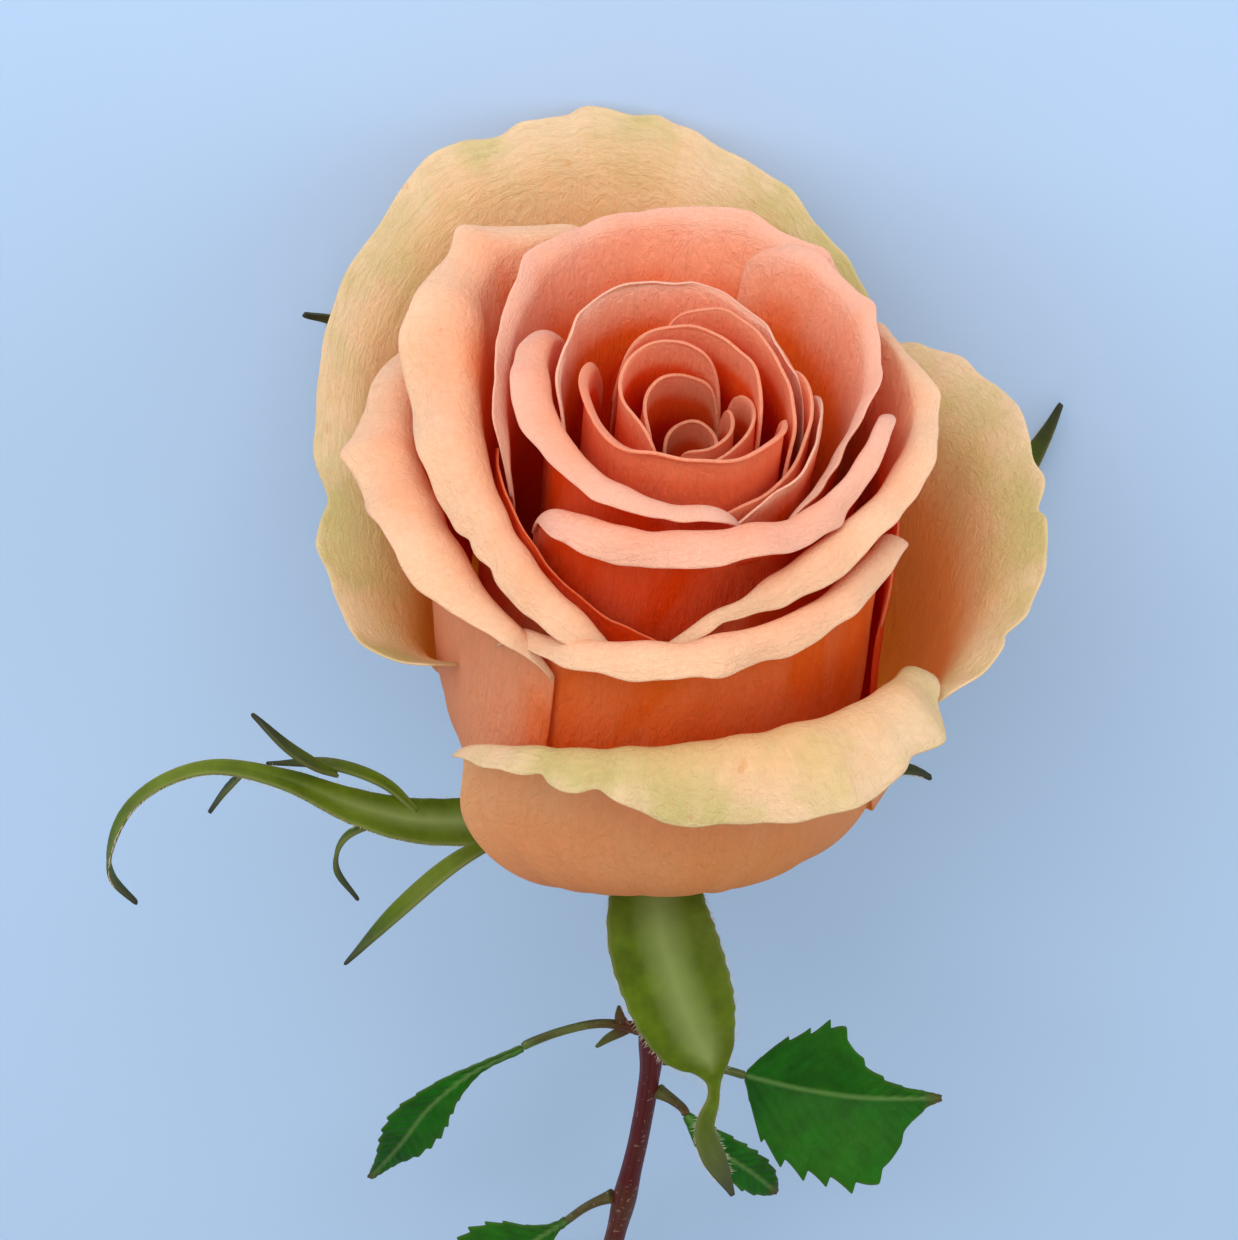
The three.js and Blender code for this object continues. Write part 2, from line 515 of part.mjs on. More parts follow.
function leafSolids(leaf) {
  const out = leaf.centre + leaf.side * (STEM_RADIUS * 1.25 + CLEARANCE);
  const place = ([x, y, z]) => [out + x, y, leaf.height + z];
  const foot = leaf.side * LEAF_STALK_RADIUS * 0.4;
  let stem = stalk({
    points: leaf.stalk.map(place).map(([x, y, z], i) => [i === 0 ? x + foot : x, y, z]),
    radii: [1.4, 1, 1, 0.9].map((r) => r * LEAF_STALK_RADIUS), steps: 8, sides: 8,
  });
  for (const { points, width } of leaf.wings) {
    stem = stem.add(ribbon({
      points: points.map(place), widths: [1, 1, 0.7, 0.2].map((w) => w * width),
      face: [0, -1, 0], thickness: LEAF_THICKNESS, steps: 4,
    }));
  }
  const solids = [{ name: `${leaf.name}_stalk`, body: largest(stem) }];
  for (const { name, from, line, widths, otherWidths = widths, face } of leaf.blades) {
    const grown = line.map((p) => from.map((x, k) => x + p[k] * LEAF_SIZE));
    const blade = ribbon({
      points: [from, ...grown].map(place), widths: widths.map((w) => w * LEAF_SIZE),
      otherWidths: otherWidths.map((w) => w * LEAF_SIZE),
      face, thickness: LEAF_THICKNESS, steps: 22, fold: 14,
    });
    solids.push({ name, body: blade });
  }
  return solids;
}

// ---- the whole rose ---------------------------------------------------------------------------------

const COLOURS = {
  petal: { color: 0xf3b98c, roughness: 0.6 },
  guard: { color: 0xf0cf98, roughness: 0.6 },
  sepal: { color: 0x5c7a2c, roughness: 0.6 },
  hip: { color: 0x6a8238, roughness: 0.55 },
  leaf: { color: 0x2f6a2c, roughness: 0.45 },
  stem: { color: 0x6a1f28, roughness: 0.5 },
};

const flower = new THREE.Group();

function add(name, geometry, colour) {
  const mesh = new THREE.Mesh(geometry, new THREE.MeshStandardMaterial(COLOURS[colour]));
  mesh.name = name;
  flower.add(mesh);
  return mesh;
}

for (const { name, body } of petalSolids()) {
  add(name, geometryOf(body), name.startsWith('guard') ? 'guard' : 'petal');
}
for (const sepal of SEPALS) add(sepal.name, geometryOf(sepalSolid(sepal)), 'sepal');

// Laid down, the bloom's axis points along -Y and a little up, and its front faces up.
flower.rotation.set(radians(90 - LAY_ANGLE), 0, Math.PI);
flower.updateMatrixWorld(true);
const bloomFloor = new THREE.Box3().setFromObject(flower, true).min.z;

// How far behind the axis the surface is at the cut end, less the stem's own radius there.
const lay = radians(LAY_ANGLE);
const rest = (-bloomFloor - STEM_LENGTH * Math.sin(lay) - STEM_CUT_RADIUS) / Math.cos(lay);

add('receptacle', hipGeometry(), 'hip');
add('stem', geometryOf(stemSolid(rest)), 'stem');
for (const leaf of LEAVES) {
  for (const { name, body } of leafSolids(leaf)) {
    add(name, geometryOf(body), name.endsWith('stalk') ? 'stem' : 'leaf');
  }
}

// The origin is on the surface, under the middle of the whole rose.
const rose = new THREE.Group();
rose.add(flower);
rose.updateMatrixWorld(true);
const box = new THREE.Box3().setFromObject(rose, true);
const middle = box.getCenter(new THREE.Vector3());
flower.position.set(-middle.x, -middle.y, -box.min.z);

export default rose;
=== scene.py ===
"""A cut rose lying on a pale floor: its bloom of nested petals, calyx, hip, stem and leaves.

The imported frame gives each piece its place. The flower is described in its own frame, as in the
design: millimetres, +Z along the bloom's axis out of the stem, bearings about it from +X. laid()
takes a point from there to the row frame, in metres.
"""

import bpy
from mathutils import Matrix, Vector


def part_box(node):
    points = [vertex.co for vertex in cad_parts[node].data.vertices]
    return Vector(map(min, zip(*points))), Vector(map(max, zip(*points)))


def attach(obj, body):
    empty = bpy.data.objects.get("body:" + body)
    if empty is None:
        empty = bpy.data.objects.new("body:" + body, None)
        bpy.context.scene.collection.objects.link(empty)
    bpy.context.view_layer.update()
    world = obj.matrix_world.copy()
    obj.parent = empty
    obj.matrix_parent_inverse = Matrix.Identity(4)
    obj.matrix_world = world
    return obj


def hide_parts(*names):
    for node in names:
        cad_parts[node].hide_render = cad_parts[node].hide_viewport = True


bl_info = {
    "name": "Cut rose",
    "version": (1, 0, 0),
    "blender": (4, 5, 0),
    "location": "3D View > Sidebar > Rose",
    "description": "Models an opened rose bloom with its calyx, stem and leaves around a packed frame",
    "category": "Add Mesh",
}

import math
import random

import bpy
import numpy as np
from bpy.props import FloatProperty, FloatVectorProperty, PointerProperty
from mathutils import Matrix, Vector, noise

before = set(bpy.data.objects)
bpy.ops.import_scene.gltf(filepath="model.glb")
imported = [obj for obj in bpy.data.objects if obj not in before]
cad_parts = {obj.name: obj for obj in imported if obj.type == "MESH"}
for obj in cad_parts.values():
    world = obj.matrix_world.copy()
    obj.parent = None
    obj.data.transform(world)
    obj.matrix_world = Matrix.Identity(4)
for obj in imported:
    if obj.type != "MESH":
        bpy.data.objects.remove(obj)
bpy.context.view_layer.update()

MM = 0.001
LAY_ANGLE = 9.0
DRAWN_SPREAD = 80.0
DRAWN_HEART = 54.0
CLEARANCE = 0.3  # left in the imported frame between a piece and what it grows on

# How a petal is drawn. A share is of its rows, from 0 at its foot to 1 at its margin.
KNEE = 0.66  # share at which the blade ends and the lip begins
BELLY_REACH = 1.32  # how far past its belly's radius a blade's curve is pulled
SHOULDER_DROP, SHOULDER_POWER = 0.12, 12  # how much lower a crest is at its sides, and how suddenly
CREST_PULL = 0.45  # how strongly the crest's tilt bends the blade, as a share of its height
CORNER_CUT, CORNER_POWER = 0.55, 10  # how much shorter a lip is at its sides, and how suddenly
ARC_SPARE = 1.1  # a margin's length over that of its crest
LIP_SPARE, LEAST_LIP = 0.4, 0.15  # millimetres
LIP_STEPS, LIP_EASE = 24, 2.2  # a lip rolls out in steps, fastest at first
CLAW_WIDTH, USUAL_FLARE = 0.4, 2  # a claw's width as a share of its blade's, and how soon it opens
SWAY_FROM = 0.35  # share at which a petal starts to undulate
SIDE_START, SIDE_RISE = 0.4, 1.5  # the depth of colour at a petal's side, and how soon it grows inwards
SIDE_FADE, SIDE_FADE_FROM = 2.5, 1.5  # how soon that depth grows below the margin, and from where
DEEP_SHADE = 8  # how far from their margins the deep petals take their colour, in millimetres

# Rows and columns of a petal's grid, and how much thicker a heart petal is.
HEART_GRID, PETAL_GRID = (56, 26), (92, 34)
HEART_THICKER = 1.3

# ---- petals ---------------------------------------------------------------------------------

# From the heart outwards, as (name, bearing, half, r, z, lean, lip, roll). A petal spans its
# bearing +-half. The lists run evenly from its clockwise side to its other side: r and z place
# the crest, lean tips the wall outwards there, and a lip of that length rolls out by roll.
PETALS = [
    ("heart_petal_1", 80, 125, (2.6, 2.4, 2.6), (50.5, 52.5, 50.5), (-3,), (0,), (0,)),
    ("heart_petal_2", 325, 85, (3.8, 4, 4), (53, 54.5, 55), (-3,), (0,), (0,)),
    ("heart_petal_3", 140, 85, (4.9, 5, 5.2), (55, 57, 54.5), (-4,), (0,), (0,)),
    ("heart_petal_4", 345, 70, (5.6, 6.1, 5.6), (53, 55.5, 55.5), (-4,), (0,), (0,)),
    ("heart_petal_5", 155, 98, (5, 5.8, 6.9, 8, 7.5, 6.9, 7.6), (57, 59.3, 60, 59, 57.8, 57, 55.8),
     (-4, 0, 0, 0, -4), (0,), (0,)),
    ("heart_petal_6", 70, 85, (6.8, 6.9, 7.3, 8.4, 9.3), (56, 58.7, 60.1, 60.5, 59.2), (0,), (0,),
     (0,)),
    ("heart_petal_7", 258, 110, (11.6, 11.2, 10.2, 9.3, 9.1, 9.6, 8.8),
     (58.5, 58, 57, 57, 57, 57.5, 58),
     (2, 0, -3, -5, -3, 0, 0), (0.6, 1, 1, 0.8, 0.6, 0.6, 0.5), (60,)),
    ("heart_petal_8", 45, 72, (10.9, 10, 9.8, 10.2, 10.6), (54.6, 57.4, 59.8, 61, 60.4), (2,),
     (0,), (0,)),
    ("heart_petal_9", 335, 72, (11, 11, 11.6, 12, 11.8), (49, 51.5, 53.5, 56.5, 57.5), (2,), (0,),
     (0,)),
    ("inner_petal_1", 105, 98, (11.8, 11.9, 12.6, 14.6, 15.4, 14.4, 13),
     (55, 58.1, 59.8, 61.2, 60.8, 58.6, 55.6), (2, 4, 8, 12, 12, 8, 4), (0,), (0,)),
    ("inner_petal_2", 335, 58, (12.3, 12.2, 12.9, 13.4, 13.2), (49.5, 52, 54.3, 55.3, 55.5),
     (2, 2, 4, 6, 4), (0,), (0,)),
    ("inner_petal_3", 222, 80, (17.2, 15.8, 14.6, 13.7, 13, 12.8, 13.4),
     (58.5, 58, 57, 55.4, 54.6, 54.2, 53.6), (6, 4, 4, 2, 0, 0, 0),
     (1.5, 4.2, 4.2, 3.6, 3.2, 2.6, 1), (90, 105, 115, 120, 125, 120, 100)),
    ("inner_petal_4", 18, 66, (13.8, 14, 15.2, 18.2, 21.2, 23, 24.4),
     (51, 52, 53, 55.3, 57.8, 59, 59.3),
     (2, 4, 8, 16, 22, 24, 24), (0.6, 1, 1.5, 2, 2, 2, 1.8), (40, 50, 60)),
    ("deep_petal_front", 300, 62, (14.6, 15, 15.4, 15.6, 16), (44, 47, 48.5, 49, 48), (0,), (0,), (0,)),
    ("inner_petal_5", 123, 76, (24.6, 25, 25.4, 24.6, 22, 19.8, 18.6),
     (58, 58.6, 59.5, 59.4, 57.2, 54.5, 52.5),
     (22, 24, 24, 22, 14, 6, 4), (1.8, 2, 2, 2.2, 2.4, 2.2, 1.5), (50,)),
    ("inner_petal_6", 292, 84, (17.4, 16.6, 15.8, 15.6, 16.2, 17.6, 20.2),
     (50.8, 52, 53.2, 53.6, 53.4, 55.2, 57.8),
     (4, 4, 4, 4, 6, 8, 12), (2, 4.6, 5, 4.8, 3.6, 2.6, 1.2), (140, 140, 140, 140, 130, 110, 90)),
    ("deep_petal_left", 236, 62, (20.4, 19.6, 18.8, 18.6, 19), (50, 47, 43, 40, 36), (2,), (0,), (0,)),
    ("outer_petal_1", 337, 75, (21, 19.2, 18.4, 19.4, 22.2, 24.6, 26.2),
     (42.3, 47.2, 50, 51.5, 52.8, 54, 55.5),
     (4, 6, 8, 12, 16, 18, 18), (1.6, 3, 4.6, 4.6, 3.2, 1.6, 0.8), (130, 135, 130, 115, 90, 70, 60)),
    ("outer_petal_2", 186, 76, (29.5, 30.5, 24.2, 21.4, 20.6, 20.6, 21.5),
     (58, 55, 53, 50.4, 47.3, 43.8, 41),
     (26, 24, 12, 8, 6, 4, 4), (0.8, 4.4, 9.6, 8.5, 6.5, 4.8, 2.5), (50, 80, 105, 125, 145, 150, 140)),
    ("outer_petal_3", 286, 64, (23.4, 22.8, 22.4, 21.9, 21.6, 21.4, 21.8),
     (39.6, 41.4, 43.5, 45, 46.3, 47.2, 48),
     (2, 2, 4, 4, 6, 6, 8), (2, 4.2, 5, 5, 4.8, 4, 1.6), (145, 145, 145, 140, 135, 130, 110)),
    ("deep_petal_right", 38, 50, (22.5, 23, 24.5, 25.5, 25.5), (36, 42, 46.5, 48.5, 48), (6,),
     (0,), (0,)),
    ("outer_petal_4", 192, 50, (33, 29.8, 25.8, 24.3, 23.8), (45.5, 44.5, 43, 41, 39),
     (24, 16, 8, 4, 2), (4.5, 7.4, 8.5, 5.8, 0.8), (100, 112, 118, 120, 100)),
    ("back_petal", 84, 54, (25.4, 27, 29.6, 31, 31), (43, 47, 49, 50, 49), (10, 14, 18, 18, 16),
     (2, 3, 3.4, 3.4, 2.4), (40,)),
    ("guard_petal_right", 12, 45, (28.5, 32, 33, 32.5, 29), (29.5, 32, 36.5, 39.5, 42.5),
     (16, 26, 30, 30, 24), (5, 7.5, 8, 8, 6), (40, 30, 25, 30, 30)),
    ("guard_petal_front", 282, 56, (29.8, 27.6, 25.9, 25.7, 26.6, 27.6, 27),
     (27, 29.2, 31.4, 33, 34, 34.7, 34.8),
     (4, 4, 6, 6, 8, 12, 14), (3, 6, 9, 12, 13.6, 10.6, 5), (115, 120, 125, 125, 120, 110, 95)),
    ("guard_petal_back", 129, 83, (29, 30, 36, 41.5, 42, 40.5, 32.8, 29, 23.3),
     (46, 50, 52.5, 53.5, 50.5, 40.4, 30.5, 23, 30), (20, 22, 26, 28, 28, 40, 65, 55, 65),
     (5, 6, 7, 7, 7, 7, 7, 6.5, 4), (20, 25, 25, 30, 30, 25, 20, 15, 10)),
]

# What the margin of a petal does, as (where, out, wide): a point out of the margin or a notch into
# it, out millimetres long and wide across, at `where` from -1 to 1.
MARKS = {
    "guard_petal_back": [(-0.42, 0.9, 0.9), (-0.36, 1.3, 0.9), (-0.31, -0.6, 0.6),
                         (-0.25, 1.2, 0.8), (-0.22, -0.7, 0.6),
                         (-0.14, 0.7, 0.8), (-0.08, -0.6, 0.6),
                         (0.02, 1.6, 5), (0.5, -1.6, 1.4), (0.58, 0.6, 2), (0.75, -0.6, 1.4),
                         (-0.62, 0.6, 2)],
    "guard_petal_right": [(-0.05, -1.5, 1.1), (-0.55, -1.5, 1.2), (0.3, 0.6, 3),
                          (0.75, -0.6, 1.2), (-0.3, 0.6, 2)],
    "guard_petal_front": [(-0.62, -2.2, 1.0), (-0.42, -1.6, 1.0), (-0.2, 0.5, 2),
                          (0.34, 1.0, 2.2), (0.58, -1.4, 1.1),
                          (0.72, 0.8, 1.4), (0.84, -0.8, 0.9), (-0.52, 0.5, 1.2)],
    "outer_petal_1": [(0.55, 1.4, 2.4), (0.75, -0.7, 1.5), (-0.72, -0.6, 1), (0.92, 1.0, 1.6)],
    "outer_petal_2": [(-0.66, 3.4, 2.2), (0.3, -1.1, 1.0), (0.42, -0.9, 1.0), (-0.3, 0.6, 3)],
    "outer_petal_3": [(-0.1, 0.5, 2.2), (0.1, -0.5, 1.6), (0.88, 0.8, 1.2), (-0.5, -0.4, 1.4)],
    "outer_petal_4": [(-0.30, 2.4, 2.0), (0.2, -0.4, 1.6)],
    "inner_petal_5": [(-0.55, 1.0, 1.8), (-0.3, -0.5, 2), (0.2, 0.6, 3), (-0.8, 0.7, 1.4)],
    "inner_petal_4": [(0.35, 0.9, 1.6), (0.7, 0.9, 1.8), (0.1, -0.4, 1.2)],
    "inner_petal_3": [(-0.3, 0.6, 2.4), (0.5, -0.5, 1.6)],
    "inner_petal_6": [(-0.2, 0.6, 2), (0.4, 0.8, 1.4)],
}

# How soon a petal's claw opens into its blade, where it isn't the usual.
CLAW_FLARE = {"guard_petal_back": 1.4}

# How pink a petal is.
BLUSH = {"heart": 0.9, "inner": 0.75, "deep": 0.5, "outer": 0.35, "back": 0.2, "guard": 0.05}

# How lively the margins of a kind of petal are, where it isn't the usual.
LIVELY = {"heart": 0.5, "deep": 0.5, "guard": 1.5}

# How pale the outside of a petal is all the way down.
PALE = {"outer_petal_4": 0.75, "outer_petal_2": 0.3, "inner_petal_5": 0.4, "heart_petal_7": 0.3}

# Where a petal ends, of its span from -1 to 1, if it stops short of it.
END = {"guard_petal_back": 0.94, "outer_petal_2": 0.9, "outer_petal_4": 0.97}

# How much sooner than its neighbours a petal turns to the colour of its wall.
DEEPEN = {"inner_petal_1": 1.9, "inner_petal_2": 1.9, "inner_petal_3": 1.2}


def blade_values(values, u):
    """A smooth value through evenly spaced ones, for u from -1 to 1."""
    last = len(values) - 1
    if last == 0:
        return np.full_like(u, values[0], dtype=float)
    v = np.asarray(values, float)
    x = (np.clip(u, -1, 1) + 1) / 2 * last
    i = np.minimum(x.astype(int), last - 1)
    f = x - i
    b, c = v[i], v[i + 1]
    a = np.where(i > 0, v[np.maximum(i - 1, 0)], 2 * b - c)
    d = np.where(i < last - 1, v[np.minimum(i + 2, last)], 2 * c - b)
    return 0.5 * (2 * b + (c - a) * f + (2 * a - 5 * b + 4 * c - d) * f**2 + (3 * b - a - 3 * c + d) * f**3)


def smooth(x):
    x = np.clip(x, 0, 1)
    return x * x * (3 - 2 * x)


def waves(arc, rng, shortest, longest, count=6):
    """A lively line along an arc, in about -1 to 1, from a few waves of seeded phase."""
    total = np.zeros_like(arc)
    for k in range(count):
        length = shortest * (longest / shortest) ** (k / (count - 1)) * rng.uniform(0.85, 1.15)
        total += math.sqrt(length / longest) * np.sin(2 * math.pi * arc / length + rng.uniform(0, 6.3))
    return total / 2


class Bloom:
    """Where the flower's own frame lies in the row frame."""

    turn = Matrix.Rotation(math.radians(90 - LAY_ANGLE), 3, "X") @ Matrix.Rotation(math.pi, 3, "Z")
    place = Vector((0, 0, 0))


def laid(points):
    """Points of the flower's own frame, in millimetres, laid down in the row frame, in metres."""
    return np.asarray(points) @ np.array(Bloom.turn).T * MM + np.array(Bloom.place)


def hip_outline(size):
    """The hip's profile, (radius, height), from its foot to its top."""
    top = size.petal_foot - size.petal_thickness_drawn / 2 - CLEARANCE * 2
    r, tall, rim = size.hip_radius, size.hip_length, size.hip_rim_radius
    return [
        (0, -tall), (size.stem_radius * 1.1, -tall), (r * 0.8, -tall * 0.8), (r, -tall * 0.5), (r * 0.9, -2),
        (rim, -1), (rim, 0), (rim * 0.85, top), (0, top),
    ]


def find_place(size):
    """The calyx's place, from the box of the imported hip, whose shape is a turned profile."""
    low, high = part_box("receptacle")
    ring = [
        Bloom.turn @ Vector((r * math.cos(a), r * math.sin(a), z))
        for r, z in hip_outline(size)
        for a in [k * math.tau / 64 for k in range(64)]
    ]
    own_low = [min(p[k] for p in ring) * MM for k in range(3)]
    own_high = [max(p[k] for p in ring) * MM for k in range(3)]
    Bloom.place = Vector(((low[k] + high[k] - own_low[k] - own_high[k]) / 2 for k in range(3)))


# ---- making pieces ----------------------------------------------------------------------------


def deselect():
    if bpy.context.object and bpy.context.object.mode != "OBJECT":
        bpy.ops.object.mode_set(mode="OBJECT")
    bpy.ops.object.select_all(action="DESELECT")


def pick(piece):
    deselect()
    piece.select_set(True)
    bpy.context.view_layer.objects.active = piece


def grid_piece(name, across, up, shape):
    """A grid primitive whose vertices are taken to shape(u, v), u from -1 to 1 and v from 0 to 1.
    shape gives the points and a dict of what is kept on them as attributes."""
    deselect()
    bpy.ops.mesh.primitive_grid_add(x_subdivisions=across, y_subdivisions=up, size=1, calc_uvs=True)
    piece = bpy.context.object
    piece.name = name
    piece.data.name = name
    mesh = piece.data
    co = np.empty(len(mesh.vertices) * 3)
    mesh.vertices.foreach_get("co", co)
    co = co.reshape(up + 1, across + 1, 3)
    points, kept = shape(co[:, :, 0] * 2, co[:, :, 1] + 0.5)
    mesh.vertices.foreach_set("co", laid(points.reshape(-1, 3)).ravel())
    for key, values in kept.items():
        attribute = mesh.attributes.new(key, "FLOAT", "POINT")
        attribute.data.foreach_set("value", np.broadcast_to(values, co.shape[:2]).ravel().astype(np.float32))
    mesh.update()
    return piece


def apply_modifier(piece, kind, **settings):
    pick(piece)
    modifier = piece.modifiers.new(kind, kind)
    for key, value in settings.items():
        setattr(modifier, key, value)
    bpy.ops.object.modifier_apply(modifier=modifier.name)


def give_wall(piece, thickness):
    """Gives a sheet its thickness, and marks the side that it was turned away from as inside."""
    count = len(piece.data.vertices)
    apply_modifier(piece, "SOLIDIFY", thickness=thickness * MM, offset=0, use_even_offset=False)
    inside = np.zeros(len(piece.data.vertices), np.float32)
    inside[count:] = 1
    attribute = piece.data.attributes.new("inside", "FLOAT", "POINT")
    attribute.data.foreach_set("value", inside)


def soften(piece):
    apply_modifier(piece, "SUBSURF", levels=1, render_levels=1)
    pick(piece)
    bpy.ops.object.shade_smooth()


def finish_sheet(piece, thickness, finish):
    give_wall(piece, thickness)
    piece.data.materials.append(finish)
    soften(piece)


def close_round(piece, seam, fill):
    """Merges the seam of a rolled-up grid, fills its open ends if asked, and turns it right side out."""
    pick(piece)
    bpy.ops.object.mode_set(mode="EDIT")
    bpy.ops.mesh.select_all(action="SELECT")
    bpy.ops.mesh.remove_doubles(threshold=seam)
    if fill:
        bpy.ops.mesh.select_all(action="DESELECT")
        bpy.ops.mesh.select_non_manifold()
        bpy.ops.mesh.edge_face_add()
    bpy.ops.mesh.select_all(action="SELECT")
    bpy.ops.mesh.normals_make_consistent(inside=False)
    bpy.ops.object.mode_set(mode="OBJECT")


def settle(piece, slot, *nodes):
    """The finished piece rides on the rose and stands for its CAD nodes."""
    deselect()
    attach(piece, "root")
    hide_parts(*nodes)


# ---- petals' shape -----------------------------------------------------------------------------


def normals_of(points):
    du = np.gradient(points, axis=1)
    dv = np.gradient(points, axis=0)
    n = np.cross(du, dv)
    return n / np.maximum(np.linalg.norm(n, axis=2, keepdims=True), 1e-9)


def petal_shape(rank, size):
    name, bearing, half, r, z, lean, lip, roll = PETALS[rank]
    share = rank / (len(PETALS) - 1)
    belly = size.heart_belly + (size.cup_belly - size.heart_belly) * share
    ring = size.claw_ring_in + (size.claw_ring_out - size.claw_ring_in) * share
    widen, raise_by = size.spread / DRAWN_SPREAD, size.heart_height / DRAWN_HEART
    rng = random.Random(name)
    kind = name.split("_")[0]

    def shape(u, v):
        u = (u + 1) * (1 + END.get(name, 1)) / 2 - 1
        foot = size.petal_foot
        shoulder = 1 - SHOULDER_DROP * np.abs(u) ** SHOULDER_POWER
        crest_r = blade_values(r, u) * widen
        crest_z = foot + (blade_values(z, u) * raise_by - foot) * shoulder
        tilt = np.radians(blade_values(lean, u))
        turn = np.radians(blade_values(roll, u))
        arc = u * math.radians(half) * np.mean(r) * ARC_SPARE
        lively = LIVELY.get(kind, 1)
        outline = size.frill * waves(arc, rng, 3.5, 22) * lively
        turn = turn * (1 + size.curl * waves(arc, rng, 10, 40))
        for where, out, wide in MARKS.get(name, []):
            away = np.abs(arc - where * math.radians(half) * np.mean(r) * ARC_SPARE) / wide
            outline = outline + out * np.exp(-(away**1.4))
        round_off = 1 - np.abs(u) ** CORNER_POWER * CORNER_CUT
        flap = np.maximum((blade_values(lip, u) * widen + LIP_SPARE + outline) * round_off, LEAST_LIP)
        # The blade: from the claw over the belly to the crest.
        t = np.clip(v / KNEE, 0, 1)
        handle = CREST_PULL * (crest_z - foot)
        p0 = (np.full_like(u, ring), np.full_like(u, foot))
        p1 = (np.full_like(u, belly * widen * BELLY_REACH), np.full_like(u, foot + 1))
        p2 = (crest_r - handle * np.sin(tilt), crest_z - handle * np.cos(tilt))
        p3 = (crest_r, crest_z)
        weights = ((1 - t) ** 3, 3 * (1 - t) ** 2 * t, 3 * (1 - t) * t**2, t**3)
        out, high = (sum(w * p[k] for w, p in zip(weights, (p0, p1, p2, p3))) for k in (0, 1))
        # The lip: past the crest, rolling out fastest at first.
        q = np.clip((v - KNEE) / (1 - KNEE), 0, 1)
        for i in range(LIP_STEPS):
            at = (i + 0.5) / LIP_STEPS
            angle = tilt + turn * (1 - (1 - at) ** LIP_EASE)
            part = np.clip(q * LIP_STEPS - i, 0, 1) * flap / LIP_STEPS
            out = out + part * np.sin(angle)
            high = high + part * np.cos(angle)
        claw = CLAW_WIDTH + (1 - CLAW_WIDTH) * smooth(CLAW_FLARE.get(name, USUAL_FLARE) * v)
        around = math.radians(bearing) + u * math.radians(half) * claw
        points = np.stack([out * np.cos(around), out * np.sin(around), high], -1)
        # Undulation, strongest at the margin, and slight pleats down the wall.
        swaying = smooth((v - SWAY_FROM) / (1 - SWAY_FROM)) ** 1.5
        sway = waves(arc, rng, 7, 34) * size.ripple * swaying * min(lively, 1.2)
        pleat = waves(arc, rng, 5, 15) * size.ripple * 0.25 * smooth(v * 3)
        points = points + normals_of(points) * (sway + pleat)[..., None]
        length = np.linalg.norm(np.diff(points, axis=0), axis=2)
        along = np.concatenate([np.zeros((1, u.shape[1])), np.cumsum(length, axis=0)])
        to_margin = along[-1:] - along
        to_side = (1 - np.abs(u)) * math.radians(half) * out
        # A petal's sides are pale too, and fade soon below its margin.
        fade = SIDE_FADE * np.maximum(to_margin - SIDE_FADE_FROM, 0)
        rim = np.minimum(to_margin, to_side * SIDE_RISE + SIDE_START + fade)
        rim = rim * DEEPEN.get(name, 1) + (DEEP_SHADE if kind == "deep" else 0)
        blush = BLUSH[kind] + rng.uniform(-0.08, 0.08)
        pale = PALE.get(name, 0) * (1 - smooth((u - 0.7) / 0.3))
        return points, {"rim": rim, "blush": blush, "pale": pale}

    return shape


def make_petal(rank, size, finish, slot):
    name = PETALS[rank][0]
    heart = name.startswith("heart")
    piece = grid_piece(name + "_sheet", *(HEART_GRID if heart else PETAL_GRID), petal_shape(rank, size))
    finish_sheet(piece, size.petal_thickness * (HEART_THICKER if heart else 1), finish)
    settle(piece, slot, name)


# ---- finishes ------------------------------------------------------------------------------------


